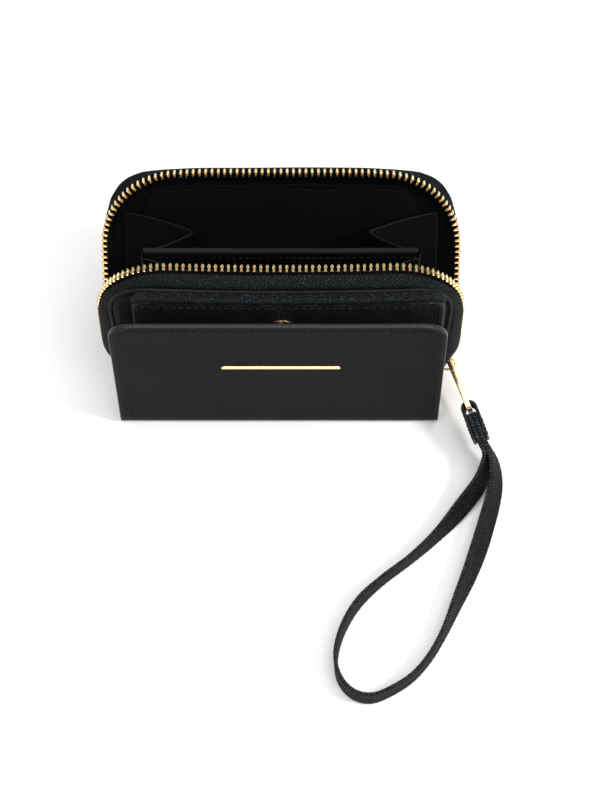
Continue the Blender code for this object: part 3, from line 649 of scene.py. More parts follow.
def tubes(name, groups, mat, body, node=(), loop=False, smooth=50):
    """One object of tubes, each skinned over rings of equal length.

    The ends are capped, or with loop the last ring joins the first.
    """
    verts, faces, uv = [], [], []
    for rings in groups:
        base, n = len(verts), len(rings[0])
        verts += [tuple(p) for ring in rings for p in ring]
        points = np.array(rings, float)
        u = running(np.linalg.norm(np.diff(points, axis=0), axis=2).mean(1))
        v = running(np.linalg.norm(np.roll(points, -1, 1) - points, axis=2).mean(0))
        for i in range(len(rings) if loop else len(rings) - 1):
            after = (i + 1) % len(rings)
            u0, u1 = u[i], (u[i + 1] if i + 1 < len(rings) else u[i] + (u[1] - u[0]))
            for k in range(n):
                k2 = (k + 1) % n
                faces.append([base + i * n + k, base + i * n + k2,
                              base + after * n + k2, base + after * n + k])
                uv.append([(u0, v[k]), (u0, v[k + 1]), (u1, v[k + 1]), (u1, v[k])])
        if not loop:
            for i in (0, len(rings) - 1):
                faces.append([base + i * n + k for k in range(n)])
                uv.append([(float(k), 0.0) for k in range(n)])
    register(make(name, verts, faces, [mat], uv, smooth), body, node)


def value_at(value, *where):
    return value(*where) if callable(value) else value


def panel(z0, z1, left, right, radius, y, columns=36, step=3.0, corner=8):
    """Rows of an upright panel with rounded top corners.

    left and right may be functions of z, and y a function of x and z.
    """
    shoulder = z1 - radius
    levels = [(z, 0.0) for z in spread(z0, shoulder, max(2, int((shoulder - z0) / step)))[:-1]]
    levels += [(shoulder + radius * s, radius * (1 - c)) for c, s in quarter(corner)]
    return [[(x, value_at(y, x, z), z)
             for x in spread(value_at(left, z) + inset, value_at(right, z) - inset, columns)]
            for z, inset in levels]


def ripple(rows, amount, scale, seed, stretch_z=1.0):
    """Soft unevenness of a sheet, along Y."""
    return [[(x, y + amount * wobble(x * scale + seed * 7.3, y * scale + seed * 3.1,
                                     z * scale * stretch_z), z)
             for x, y, z in row] for row in rows]


def resample(path, pitch, inset):
    """Evenly spaced (point, direction) along a path, starting and ending an inset in."""
    points = [Vector(p) for p in path]
    lengths = arc_lengths(points)
    total = lengths[-1] - 2 * inset
    n = max(1, int(round(total / pitch)))
    return [(points[j].lerp(points[j + 1], f), (points[j + 1] - points[j]).normalized())
            for j, f in marks(lengths, [inset + total * i / n for i in range(n + 1)])]


STITCH_SLANT = 0.12


def stitches(name, seams, body, pitch=2.5, long=1.85, radius=0.19, lift=0.05):
    """Sewing along (path, normal) seams; each stitch is an arched thread with its ends sunk."""
    groups = []
    for path, normal in seams:
        normal = Vector(normal).normalized()
        for p, along in resample(path, pitch, pitch * 0.5):
            side = along.cross(normal).normalized()
            lay = (along + side * STITCH_SLANT).normalized()
            across = lay.cross(normal).normalized()
            rings = []
            for f in spread(-1.0, 1.0, 6):
                up = lift + radius * 0.55 - (abs(f) ** 3) * (radius * 1.9)
                centre = p + lay * (f * long / 2) + normal * up
                r = radius * (1.0 - 0.35 * abs(f) ** 4)
                rings.append([centre + across * x + normal * y for x, y in oval(r, r, 6)])
            groups.append(rings)
    tubes(name, groups, THREAD, body)


def sweep(name, path, section, up, mat, body, node=(), loop=False, scale=None):
    """A section of (side, up) points carried along a path; scale is a function of 0 to 1."""
    points = [Vector(p) for p in path]
    up = Vector(up)
    n = len(points)
    rings = []
    for i, p in enumerate(points):
        before = points[(i - 1) % n] if loop else points[max(i - 1, 0)]
        after = points[(i + 1) % n] if loop else points[min(i + 1, n - 1)]
        along = (after - before).normalized()
        rise = square_to(up, along)
        side = along.cross(rise).normalized()
        k = scale(i / (n - 1)) if scale else 1.0
        rings.append([p + side * (x * k) + rise * (y * k) for x, y in section])
    tubes(name, [rings], mat, body, node, loop=loop)


# ---- outlines of the halves ---------------------------------------------------------------------
def zip_half(z):
    """Half width of the zip line at a height on its sides."""
    if z <= RUN_Z1:
        return RUN_X0 + RUN_SLOPE * (max(z, RUN_FOOT) - RUN_Z0)
    x1 = RUN_X0 + RUN_SLOPE * (RUN_Z1 - RUN_Z0)
    span = 2 * (ZIP_HALF - x1) / RUN_SLOPE
    rise = min(z - RUN_Z1, span)
    return x1 + RUN_SLOPE * rise - RUN_SLOPE * rise * rise / (2 * span)


def arch(z0, kind, inset=0.0, corner=16, radius=PANEL_R):
    """The "zip" line or "panel" edge as (x, z) from the right foot over the top to the left."""
    zip_corner = ZIP_TOP - CORNER_RZ
    levels = spread(z0, zip_corner, int((zip_corner - z0) / ARCH_STEP))[:-1]
    if kind == "zip":
        right = [(zip_half(z), z) for z in levels]
        right += [(ZIP_FLAT + CORNER_RX * c, zip_corner + CORNER_RZ * s)
                  for c, s in quarter(corner)]
        flat, top = ZIP_FLAT, ZIP_TOP
    else:
        shoulder = PANEL_TOP - radius
        grow = (shoulder - z0) / (zip_corner - z0)
        heights = [z0 + (z - z0) * grow for z in levels]
        right = [(PANEL_FOOT + (PANEL_HALF - PANEL_FOOT) * min(z / 70.0, 1.0), z)
                 for z in heights]
        flat, top = PANEL_HALF - radius, PANEL_TOP
        right += [(flat + radius * c, shoulder + radius * s) for c, s in quarter(corner)]
    across = [(x, top) for x in spread(flat, -flat, ARCH_TOP_STEPS)[1:-1]]
    points = right + across + mirrored(right)
    if inset:
        points = inset_line(points, inset)
        points[0], points[-1] = (points[0][0], z0), (points[-1][0], z0)
    return points


def along_wall(z0, y, inset):
    """Line inside the zip wall at a distance y from the zip plane."""
    f = (COVER_Y - SKIN - y) / (COVER_Y - SKIN - WALL_Y)
    return [(a[0] + (b[0] - a[0]) * f, a[1] + (b[1] - a[1]) * f)
            for a, b in zip(arch(z0, "panel", inset), arch(z0, "zip", inset))]


# ---- covers -------------------------------------------------------------------------------------
COVER_FACE_COLUMNS, COVER_WALL_COLUMNS = 16, 13


def cover(word, foot, radius, amount, scale, seed):
    """From the middle of the foot out to the panel's edge, then along the woven zip wall."""
    side, pose = HALVES[word]
    face_y, wall_y = COVER_Y - 0.6, WALL_Y + 0.6
    rows = []
    for a, b in zip(arch(foot, "panel", 0.5, radius=radius), arch(foot, "zip", 0.6)):
        row = []
        for k in range(COVER_FACE_COLUMNS):
            f = 0.02 + 0.96 * (k / (COVER_FACE_COLUMNS - 1)) ** 0.85
            row.append((a[0] * f, side * face_y, foot + (a[1] - foot) * f))
        for f in spread(0, 1, COVER_WALL_COLUMNS - 1):
            y = face_y + (wall_y - face_y) * (f ** 1.35)
            g = f + 0.10 * math.sin(math.pi * f)
            row.append((a[0] + (b[0] - a[0]) * g, side * y, a[1] + (b[1] - a[1]) * g))
        rows.append(row)
    sheet(word + "_cover_skin", posed(ripple(rows, amount, scale, seed), pose), SKIN, GRAIN,
          word + "_half", word + "_cover", rim=BAND, rim_from=COVER_FACE_COLUMNS - 1,
          reach=0.55, steps=3)


cover("front", foot=3.0, radius=PANEL_R, amount=0.25, scale=0.05, seed=1)
cover("rear", foot=25.5, radius=13.0, amount=0.35, scale=0.045, seed=2)

# ---- zip: tapes, teeth, cords, stops and tails --------------------------------------------------
# (distance from the zip plane, inset from the outline)
TAPE_PROFILE = [(2.45, 0.95), (2.75, 1.15), (3.1, 1.5), (3.6, 1.75), (4.3, 1.85), (5.2, 1.9),
                (5.9, 2.0)]


def tape(word, foot):
    side, pose = HALVES[word]
    lines = []
    for y, inset in TAPE_PROFILE:
        if y < WALL_Y:
            line = arch(foot, "zip", inset)
        else:
            line = along_wall(foot, min(y, COVER_Y - SKIN - 0.4), inset)
        lines.append([(x, side * y, z) for x, z in line])
    sheet(word + "_tape", posed(zip(*lines), pose), 0.5, TAPE, word + "_half",
          word + "_zip_tape", steps=2)


tape("front", foot=24.5)
tape("rear", foot=27.5)

# Half plan of a tooth, cord end to head: (half width along the zip, distance from the zip plane)
TOOTH = [(0.36, 3.35), (0.44, 3.2), (0.44, 2.35), (0.38, 2.15), (0.38, 1.95), (0.52, 1.72),
         (0.57, 1.5), (0.50, 1.2), (0.34, 0.85), (0.18, 0.60), (0.08, 0.50)]
# Layers of a tooth: (height, how far the plan is drawn in)
TOOTH_LAYERS = [(-1.18, 0.16), (-1.06, 0.05), (-0.85, 0.0), (-0.2, 0.0), (0.2, 0.0),
                (0.85, 0.0), (1.06, 0.05), (1.18, 0.16)]
TOOTH_MIDDLE = 1.9


def teeth(word, foot, phase):
    """A row of teeth; phase shifts it by a share of the pitch."""
    side, pose = HALVES[word]
    points = [Vector((x, 0, z)) for x, z in arch(foot, "zip", TOOTH_LINE, corner=24)]
    lengths = arc_lengths(points)
    total = lengths[-1]
    count = int((total - 2.0) / TOOTH_PITCH)
    start = (total - (count - 1) * TOOTH_PITCH) / 2 + phase * TOOTH_PITCH
    if phase:
        count -= 1
    plan = TOOTH + [(-w, y) for w, y in reversed(TOOTH)]
    groups = []
    for i, (j, f) in enumerate(marks(lengths, [start + i * TOOTH_PITCH for i in range(count)])):
        p = points[j].lerp(points[j + 1], f)
        along = (points[min(j + 2, len(points) - 1)] - points[max(j - 1, 0)]).normalized()
        outward = Vector((along.z, 0, -along.x))
        uneven = 1 + 0.02 * math.sin(i * 12.9898)
        rings = []
        for level, shrink in TOOTH_LAYERS:
            ring = []
            for w, y in plan:
                height = level * (1 - 0.16 * clamped((2.3 - y) / 1.2))    # slimmer at the head
                deep = TOOTH_MIDDLE + (y - TOOTH_MIDDLE) * (1 - shrink * 0.5)
                wide = math.copysign(max(abs(w) - shrink, 0.03), w) * uneven
                q = p + along * wide + outward * height
                ring.append(Vector(pose((q.x, side * deep, q.z))))
            rings.append(ring)
        groups.append(rings)
    tubes(word + "_teeth", groups, GOLD, word + "_half", word + "_zip_teeth", smooth=32)


teeth("front", foot=24.5, phase=0.0)
teeth("rear", foot=27.5, phase=0.5)


def cord(word, foot):
    side, pose = HALVES[word]
    path = [pose((x, side * 2.75, z)) for x, z in arch(foot, "zip", TOOTH_LINE)]
    sweep(word + "_cord", path, oval(0.62, 0.62, 10), (0, 1, 0), TAPE, word + "_half")


cord("front", foot=24.0)
cord("rear", foot=27.2)

# (height as a share of the half height, scale of the section)
CLAMP_LAYERS = [(-1, 0.62), (-0.93, 0.85), (-0.75, 1.0), (-0.25, 1.0), (-0.08, 0.93),
                (0.08, 0.93), (0.25, 1.0), (0.75, 1.0), (0.93, 0.85), (1, 0.62)]


def clamp(name, body, node, centre, half, pose=tuple):
    """A metal stop: a rounded block with a pinch line round its waist."""
    rings = [[Vector(pose((centre[0] + x * k, centre[1] + y * k, centre[2] + half[2] * z)))
              for x, y in oval(half[0], half[1], 20, 3.6)] for z, k in CLAMP_LAYERS]
    tubes(name, [rings], GOLD, body, node)


for name, node in (("front_top_clamp", "front_top_stop"), ("bottom_clamp", "bottom_stop")):
    low, high = box_mm(node)
    clamp(name, "front_half", node, (low + high) / 2, (high - low) / 2)
clamp("rear_top_clamp", "rear_half", "rear_top_stop", centre=(TOOTH_LINE - zip_half(25.0), 1.85, 25.5),
      half=(1.5, 1.35, 1.3), pose=rear_pose)

for word, side in (("right", 1), ("left", -1)):
    low, high = box_mm("zip_tail_" + word)
    rows = [[((low.x + high.x) / 2 + 0.25 * math.sin(y * 0.9) * side, y, z)
             for y in spread(low.y + 0.3, high.y - 0.3, 12)]
            for z in spread(low.z + 0.3, high.z - 0.3, 12)]
    sheet("tail_tape_" + word, rows, 0.6, TAPE, "front_half", "zip_tail_" + word, steps=2)

# ---- spine: base skin, and fold strips over the bend --------------------------------------------
# (y, z) from the front edge, under the base and up the rear
BASE_PROFILE = [(-7.4, 2.7), (-7.4, 1.9), (-7.28, 1.3), (-6.95, 0.85), (-6.4, 0.62), (-5.6, 0.6),
                (-3.0, 0.6), (0.0, 0.6), (3.0, 0.6), (5.4, 0.6), (6.4, 0.78), (7.0, 1.25),
                (7.32, 2.0), (7.4, 3.0), (7.4, 5.0), (7.4, 7.5), (7.4, 10.0), (7.4, 12.6)]
rows = [[(x, y, z) for x in spread(-53.6, 53.6, 48)] for y, z in BASE_PROFILE]
sheet("base_skin", rows, SKIN, GRAIN, "front_half", "base_cover", reach=0.45, steps=3)


def hermite(p0, slope0, p1, slope1, s):
    weights = (2 * s ** 3 - 3 * s ** 2 + 1, s ** 3 - 2 * s ** 2 + s,
               -2 * s ** 3 + 3 * s ** 2, s ** 3 - s ** 2)
    return [sum(w * v for w, v in zip(weights, axis)) for axis in zip(p0, slope0, p1, slope1)]


rear_angle = math.radians(REAR_LEAN)
REAR_SIN, REAR_COS = math.sin(rear_angle), math.cos(rear_angle)
SPINE_STEPS, SPINE_PULL = 32, 9.0
spine_curve = []
for s in spread(0, 1, SPINE_STEPS):
    y, z = hermite((COVER_Y + 0.05, 10.5), (0, SPINE_PULL),
                   leant(COVER_Y + 0.1, 31.0, REAR_LEAN),
                   (SPINE_PULL * REAR_SIN, SPINE_PULL * REAR_COS), s)
    swell = math.sin(math.pi * s)
    out = 1.1 * swell ** 2 + 0.35 * math.sin(3 * math.pi * s) * swell
    spine_curve.append((y + math.cos(rear_angle * s) * out, z - math.sin(rear_angle * s) * out))


def spine_fold(name, first, last, body_from, body_to):
    rows = []
    for i in range(first, last + 1):
        y, z = spine_curve[i]
        rows.append([(x, y + 0.15 * wobble(x * 0.09, i * 0.25, 3.0), z)
                     for x in spread(-53.4, 53.4, 60)])
    body = (body_from, body_to, (0, *spine_curve[first]), (0, *spine_curve[last]))
    sheet(name, rows, 0.9, GRAIN, body, reach=0.3, steps=2)


spine_fold("spine_fold_lower", 0, SPINE_STEPS // 2, "front_half", "divider")
spine_fold("spine_fold_upper", SPINE_STEPS // 2, SPINE_STEPS, "divider", "rear_half")
stitches("spine_stitch_lower",
         [([(x, COVER_Y + 0.5, 12.2) for x in (-52, 52)], (0, 1, 0))], "front_half")
y, z = leant(COVER_Y + 0.55, 29.6, REAR_LEAN)
stitches("spine_stitch_upper",
         [([(x, y, z) for x in (-52, 52)], (0, REAR_COS, -REAR_SIN))], "rear_half")

# ---- stiffener, linings and slip pockets --------------------------------------------------------
rows = panel(5.5, 84.5, -54.0, 54.0, radius=16.5, y=-6.25, columns=30)
sheet("front_stiffener", posed(rows, front_pose), 0.4, BOARD, "front_half", "front_board",
      steps=1)


def lining(word, foot, seed):
    """Lining: flat, then turned at its edge to meet the tape."""
    side, pose = HALVES[word]
    rows = []
    for a, b in zip(arch(foot, "panel", 4.6), along_wall(foot, 5.0, 2.6)):
        row = []
        for k in range(15):
            f = 0.02 + 0.98 * (k / 14) ** 0.9
            row.append((a[0] * f, side * 5.55, foot + (a[1] - foot) * f))
        for f in spread(0, 1, 5)[1:]:
            row.append((a[0] + (b[0] - a[0]) * f, side * (5.55 - 0.85 * f ** 1.6),
                        a[1] + (b[1] - a[1]) * f))
        rows.append(row)
    rows = ripple(rows, amount=0.22, scale=0.07, seed=seed)
    sheet(word + "_lining_cloth", posed(rows, pose), 0.4, LINING, word + "_half",
          word + "_lining", steps=1)


lining("front", foot=5.0, seed=3)
lining("rear", foot=27.0, seed=4)


def slip_pocket(word, z0, z1, half, radius, seed):
    """A cloth leaf on the lining, with a bound and sewn top."""
    side, pose = HALVES[word]
    name, body = word + "_slip", word + "_half"

    def leaf_y(x, z):
        return side * (4.75 - 0.35 * math.sin(math.pi * clamped((z - z0) / (z1 - z0)) ** 3))

    def corner_drop(x):
        past = max(0.0, abs(x) - (half - radius))
        return radius - math.sqrt(max(0.0, radius * radius - past ** 2))

    rows = panel(z0, z1 - 1.2, -half, half, radius, y=leaf_y, columns=44)
    rows = ripple(rows, amount=0.16, scale=0.05, seed=seed, stretch_z=0.5)
    sheet(name + "_leaf", posed(rows, pose), 0.25, LINING, body, name + "_pocket", steps=1)
    path = [pose((x, side * (4.70 + 0.12 * wobble(x * 0.06, seed, 0)),
                  z1 - 0.7 - corner_drop(x) + 0.5 * wobble(x * 0.04, seed, 7)))
            for x in spread(1.2 - half, half - 1.2, 80)]
    up = direction(pose, (0, 0, 1))
    sweep(name + "_leaf_binding", path, oval(0.30, 0.7, 14, 2.6), up, LINING, body)
    outward = direction(pose, (0, -side, 0))
    seam = [Vector(p) - up * 1.5 + outward * 0.05 for p in path]
    stitches(name + "_leaf_stitch", [(seam, outward)], body, pitch=2.0, long=1.2, radius=0.09)


slip_pocket("front", z0=6.5, z1=79.0, half=49.0, radius=6.0, seed=5)
slip_pocket("rear", z0=28.0, z1=83.8, half=46.5, radius=9.5, seed=6)

low, high = box_mm("base_lining")
rows = [[(x, y, 2.8 + 0.35 * math.sin(math.pi * (y - low.y) / (high.y - low.y))
          + 0.1 * wobble(x * 0.1, y * 0.2, 0))
         for y in spread(low.y, high.y, 14)] for x in spread(low.x, high.x, 50)]
sheet("base_lining_cloth", rows, 0.4, LINING, "front_half", "base_lining", steps=1)

# ---- divider ------------------------------------------------------------------------------------
DIVIDER_FOOT, DIVIDER_TOP, DIVIDER_HALF = 24.0, 75.0, 45.4


def divider_leaf(word, y, belly, seed):
    def leaf_y(x, z):
        bulge = math.cos(math.pi * x / 100) * math.sin(math.pi * min(1, (z - 24) / 52))
        return y + belly * bulge + 0.25 * wobble(x * 0.045, seed, z * 0.05)

    rows = panel(DIVIDER_FOOT, DIVIDER_TOP, -DIVIDER_HALF, DIVIDER_HALF, radius=1.0, y=leaf_y,
                 columns=44)
    sheet(f"divider_{word}_leaf", posed(rows, divider_pose), 0.45, LINING, "divider",
          "divider_" + word, steps=2)


divider_leaf("front", y=-1.0, belly=-0.35, seed=1.0)
divider_leaf("rear", y=0.65, belly=0.35, seed=5.0)

up = direction(divider_pose, (0, 0, 1))
forward = direction(divider_pose, (0, -1, 0))
path = [divider_pose((x, -0.15 + 0.5 * wobble(x * 0.045, 9, 0),
                      75.3 + 0.45 * wobble(x * 0.035, 2, 0))) for x in spread(-45.6, 45.6, 70)]
sweep("divider_edge", path, oval(0.95, 0.85, 16, 2.4), up, EDGE_CLOTH_PAINTED_HIGHLIGHT, "divider",
      "divider_binding")
seam = [Vector(p) - up * 2.2 + forward * 1.05 for p in path]
stitches("divider_stitch", [(seam, forward)], "divider", pitch=2.2, long=1.4, radius=0.11)

for side, word in ((-1, "left"), (1, "right")):
    rows = [[divider_pose((side * (45.7 + 0.45 * math.sin(math.pi * (y + 1.4) / 2.5)), y, z))
             for y in spread(-1.3, 1.0, 8)] for z in spread(24.5, 74.7, 20)]
    sheet("divider_side_" + word, rows, 0.45, LINING, "divider", steps=2)

low, high = box_mm("divider_foot")
rows = [[(x, 0.1 * math.sin(x * 0.2) - 0.1, z) for x in spread(low.x + 0.3, high.x - 0.3, 40)]
        for z in spread(low.z, 22.6, 12)]
sheet("divider_foot_cloth", rows, 1.0, LINING,
      ("front_half", "divider", (0, 0, 15.0), (0, 0, 22.0)), "divider_foot", steps=2)

# ---- accordion gussets --------------------------------------------------------------------------
GUSSET_FOOT, GUSSET_COVER_X, GUSSET_DIVIDER_X = 24.5, 53.0, 45.8


def gusset(side, cover_point, divider_y, fold_x, top, seed):
    """Rows up the gusset; each runs from the cover in to the fold and back out to the divider.

    cover_point gives the posed point on the cover at a height.
    """
    def pull(s):
        return 0.30 * s + 0.70 * s ** 1.6

    rows = []
    for v in spread(GUSSET_FOOT, top, 22):
        start = Vector(cover_point(v)[1:])
        end = Vector(leant(divider_y, v, DIVIDER_LEAN))
        middle = (start + end) / 2
        line = [Vector((side * (GUSSET_COVER_X + (fold_x - GUSSET_COVER_X) * s),
                        *(start + (middle - start) * pull(s)))) for s in spread(0, 1, 24)]
        line += [Vector((side * (fold_x + (GUSSET_DIVIDER_X - fold_x) * s),
                         *(middle + (end - middle) * (1 - pull(1 - s)))))
                 for s in spread(0, 1, 20)[1:]]
        for _ in range(2):
            smoothed = [(a + b * 2 + c) / 4 for a, b, c in zip(line, line[1:], line[2:])]
            line = [line[0]] + smoothed + [line[-1]]
        across = (end - start).normalized()
        row = []
        for i, p in enumerate(line):
            free = math.sin(math.pi * i / (len(line) - 1))
            push = wobble(p.x * 0.09, v * 0.06, seed) * 0.5 * free
            row.append((p.x, p.y + across.x * push,
                        p.z + across.y * push + 0.35 * wobble(p.x * 0.12, seed, 1) * free))
        rows.append(row)
    return rows


for side, word in ((1, "right"), (-1, "left")):
    rows = gusset(side, lambda v: rear_pose((0.0, 4.0, v)), divider_y=1.14, fold_x=29.0,
                  top=73.6, seed=3.0 + side)
    body = ("divider", "rear_half", (0, *leant(1.35, 60, DIVIDER_LEAN)),
            (0, *leant(4.0, 60, REAR_LEAN)))
    sheet("gusset_back_" + word, rows, 0.4, LINING, body, "gusset_rear_" + word,
          rim=EDGE_CLOTH_PAINTED_HIGHLIGHT, steps=2)
    rows = gusset(side, lambda v: front_pose((53.0, -4.1, v)), divider_y=-1.5, fold_x=31.0,
                  top=73.2, seed=8.0 + side)
    body = ("front_half", "divider", (0, -4.1, 60), (0, *leant(-1.5, 60, DIVIDER_LEAN)))
    sheet("gusset_fore_" + word, rows, 0.4, LINING, body, "gusset_front_" + word,
          rim=EDGE_CLOTH_PAINTED_HIGHLIGHT, steps=2)

# ---- front: bound base panel --------------------------------------------------------------------
BASE_PANEL_R, BASE_PANEL_HALF, BASE_PANEL_TAPER = 12.0, 56.2, 3.0
low, high = box_mm("front_panel")


def base_panel_half(z):
    return BASE_PANEL_HALF - BASE_PANEL_TAPER * clamped((80 - z) / 76)


rows = panel(low.z, high.z - 0.3, lambda z: -base_panel_half(z), base_panel_half, BASE_PANEL_R,
             y=-8.75, columns=46, corner=12)
sheet("front_base_panel", posed(rows, front_pose), 0.9, SMOOTH, "front_half", "front_panel",
      steps=2)
shoulder = high.z - 0.5 - BASE_PANEL_R
heights = [low.z + 0.5 + 3.2 * j for j in range(24)]
outline = [(base_panel_half(z), z) for z in heights if z < shoulder]
outline += [(BASE_PANEL_HALF - 0.5 - BASE_PANEL_R + BASE_PANEL_R * c,
             shoulder + BASE_PANEL_R * s) for c, s in quarter(12)]
outline += [(x, high.z - 0.5) for x in (40, 34, 28, 20, 12, 4)]
outline += mirrored(outline)
sweep("front_panel_binding", [front_pose((x, -9.05, z)) for x, z in outline],
      oval(0.75, 0.55, 14, 2.6), (0, -1, 0), SMOOTH, "front_half")
seam = [front_pose((x, -9.22, z)) for x, z in inset_line(outline, 2.6)]
stitches("front_panel_stitch", [(seam, (0, -1, 0))], "front_half", pitch=2.4, long=1.7,
         radius=0.17)


# ---- front: pocket ------------------------------------------------------------------------------
def pocket_y(x, z):
    """Fine upright wrinkles that grow towards the pocket's top."""
    rise = clamped((z - 40) / 44.0)
    wave = math.sin(x * 0.55 + 2.2 * wobble(x * 0.05, z * 0.03, 4))
    wrinkle = 0.22 * wave * rise * (0.4 + 0.6 * wobble(x * 0.06, 1, 1) + 0.3)
    return -11.3 + wrinkle + 0.2 * wobble(x * 0.05, 2, z * 0.05)


rows = panel(4.3, 84.9, POCKET_LEFT + 0.1, POCKET_RIGHT - 0.1, radius=5.0, y=pocket_y,
             columns=90, step=2.2)
sheet("pocket_front_leaf", posed(rows, front_pose), 3.1, POCKET_GRAIN_PAINTED_LIGHTER, "front_half",
      "pocket_panel", reach=0.9, steps=3)

# Rolled top edge, dropping and thinning at its ends
POCKET_MIDDLE = (POCKET_LEFT + POCKET_RIGHT) / 2
path = []
for x in spread(POCKET_LEFT + 0.6, POCKET_RIGHT - 0.6, 90):
    drop = 3.2 * max(0.0, (abs(x - POCKET_MIDDLE) - 47.2) / 4.0) ** 2
    path.append(front_pose((x, -11.1, 86.0 - drop + 0.12 * wobble(x * 0.08, 0, 0))))
sweep("pocket_rolled_edge", path, oval(1.75, 1.45, 22, 2.7), (0, 0, 1), ROLL_GRAIN_PAINTED_SHADE,
      "front_half", "pocket_edge",
      scale=lambda f: 1 - 0.35 * max(0, abs(f - 0.5) * 2 - 0.96) / 0.04)
seams = [[front_pose((x, -12.95, 82.9)) for x in spread(POCKET_LEFT + 2.5, POCKET_RIGHT - 2.5, 60)]]
for x in (POCKET_LEFT + 2.0, POCKET_RIGHT - 2.0):
    seams.append([front_pose((x, -12.9, z)) for z in range(6, 83, 3)])
stitches("pocket_stitch", [(seam, (0, -1, 0)) for seam in seams], "front_half", radius=0.2)


# ---- snap ---------------------------------------------------------------------------------------
def snap_part(name, profile, body, node, pose=tuple, loop=False):
    """(radius, y) points turned about the snap's axis; loop closes the profile into a ring."""
    rings = [[Vector(pose((x, y, SNAP_Z + z))) for x, z in oval(r, r, 64)] for r, y in profile]
    tubes(name, [rings], GOLD, body, node, loop=loop, smooth=30)


STUD = [(0.05, -12.7), (5.0, -12.7), (5.25, -13.0), (5.2, -13.3), (4.9, -13.45), (4.2, -13.5),
        (3.4, -13.45), (2.6, -13.5), (2.15, -13.75), (2.0, -14.05), (2.2, -14.4),
        (2.35, -14.65), (2.25, -14.9), (1.9, -15.05), (1.2, -15.1), (0.4, -15.12),
        (0.05, -15.12)]
SOCKET = [(2.75, -15.0), (2.75, -14.45), (2.95, -14.2), (3.3, -14.1), (3.9, -14.12),
          (4.5, -14.2), (4.9, -14.4), (5.05, -14.7), (5.0, -15.0), (4.0, -15.05)]
stud_shift = front_pose((0, 0, SNAP_Z))[1] + 0.35
snap_part("snap_stud_cap", [(r, y + stud_shift) for r, y in STUD], "front_half", "snap_stud")

# ---- flap ---------------------------------------------------------------------------------------
FLAP_FRONT_Y, FLAP_BACK_Y = -17.0, -15.2
rows = panel(2.7, FLAP_LONG, FLAP_LEFT, FLAP_RIGHT, FLAP_R,
             y=lambda x, z: -16.1 + 0.12 * wobble(x * 0.03, 3, z * 0.035),
             columns=60, step=2.6, corner=12)
sheet("flap_leather", posed(rows, flap_pose), FLAP_BACK_Y - FLAP_FRONT_Y, GRAIN, "flap",
      "flap_outer", rim=PAINT, reach=0.32, steps=3)
rows = panel(2.9, FLAP_LONG - 1.4, FLAP_LEFT + 1.4, FLAP_RIGHT - 1.4, FLAP_R - 1.2, y=-15.05,
             columns=40, corner=10)
sheet("flap_lining_hide", posed(rows, flap_pose), 0.45, SMOOTH, "flap",
      ("flap_lining", "flap_board"), steps=2)
snap_part("snap_socket_ring", SOCKET, "flap", "snap_socket", pose=flap_pose, loop=True)

# Sewing along the top and down each side
seam_y = FLAP_FRONT_Y - 0.02
lines = [[(x, FLAP_LONG - 3.5) for x in spread(FLAP_LEFT + 8, FLAP_RIGHT - 8, 50)]]
flap_shoulder, seam_r = FLAP_LONG - FLAP_R, FLAP_R - 3.4
for side, reach in ((-1, -FLAP_LEFT), (1, FLAP_RIGHT)):
    line = [(side * (reach - 3.3), z) for z in range(4, int(flap_shoulder + 1), 2)]
    line += [(side * (reach - FLAP_R + seam_r * c), flap_shoulder + seam_r * s)
             for c, s in quarter(8)]
    lines.append(line)
outward = direction(flap_pose, (0, -1, 0))
stitches("flap_stitch", [([flap_pose((x, seam_y, z)) for x, z in line], outward)
                         for line in lines], "flap", pitch=2.4, long=1.7, radius=0.17)

# Plain round-ended bar with a domed face
BAR_Z, BAR_R, BAR_HALF = 51.5, 0.95, 20.0
BAR_LAYERS = [(-17.0, 0.97), (-17.35, 1.0), (-17.55, 0.985), (-17.68, 0.93), (-17.74, 0.80),
              (-17.76, 0.5)]                     # (y, scale of the radius)
rings = []
for y, k in BAR_LAYERS:
    ring = []
    for c, s in oval(1, 1, 48):
        end = math.copysign(BAR_HALF - BAR_R, c) if abs(c) > 1e-6 else 0.0
        ring.append(Vector(flap_pose((end + BAR_R * k * c, y, BAR_Z + BAR_R * k * s))))
    rings.append(ring)
tubes("flap_plain_bar", [rings], GOLD, "flap", "flap_bar", smooth=30)

# Fold of the flap under the spine: (y, z) from the flap back to the front half
FLAP_FOLD = [(-16.1, 2.6), (-16.12, 1.9), (-16.0, 1.3), (-15.6, 0.85), (-15.0, 0.6),
             (-14.2, 0.5), (-13.2, 0.47), (-12.0, 0.47), (-10.8, 0.47), (-9.6, 0.5),
             (-8.8, 0.65), (-8.45, 1.1), (-8.4, 2.0), (-8.4, 3.3)]
rows = []
for y, z in FLAP_FOLD:
    share = clamped((-y - 14.2) / 1.9)           # how far this row follows the flap
    row = []
    for x in spread(FLAP_LEFT, FLAP_RIGHT, 60):
        p = (x * (1 - 0.02 * (1 - share)), y, z)
        row.append(tuple(Vector(p).lerp(Vector(flap_pose(p)), share)))
    rows.append(row)
sheet("flap_fold", rows, 0.9, GRAIN, ("front_half", "flap", (0, -12.0, 0.5), (0, -15.4, 0.9)),
      rim=DARK_PAINT, reach=0.3, steps=2)

# ---- slider -------------------------------------------------------------------------------------
EYE = Vector(joint_m("puller_swing")) / MM       # where the puller hangs from the slider
ACROSS = Vector(JOINTS["puller_swing"]["axis"]).normalized()
BAR = Vector(joint_m("strap_swing")) / MM        # puller bar that the strap tab folds round
ALONG = (BAR - EYE).normalized()
TILT = math.atan(RUN_SLOPE)
SLIDER_Z = 18.0
SLIDER = Vector((zip_half(SLIDER_Z) - TOOTH_LINE, 0, SLIDER_Z))
OUT = Vector((math.cos(TILT), 0, -math.sin(TILT)))
RUN = Vector((math.sin(TILT), 0, math.cos(TILT)))

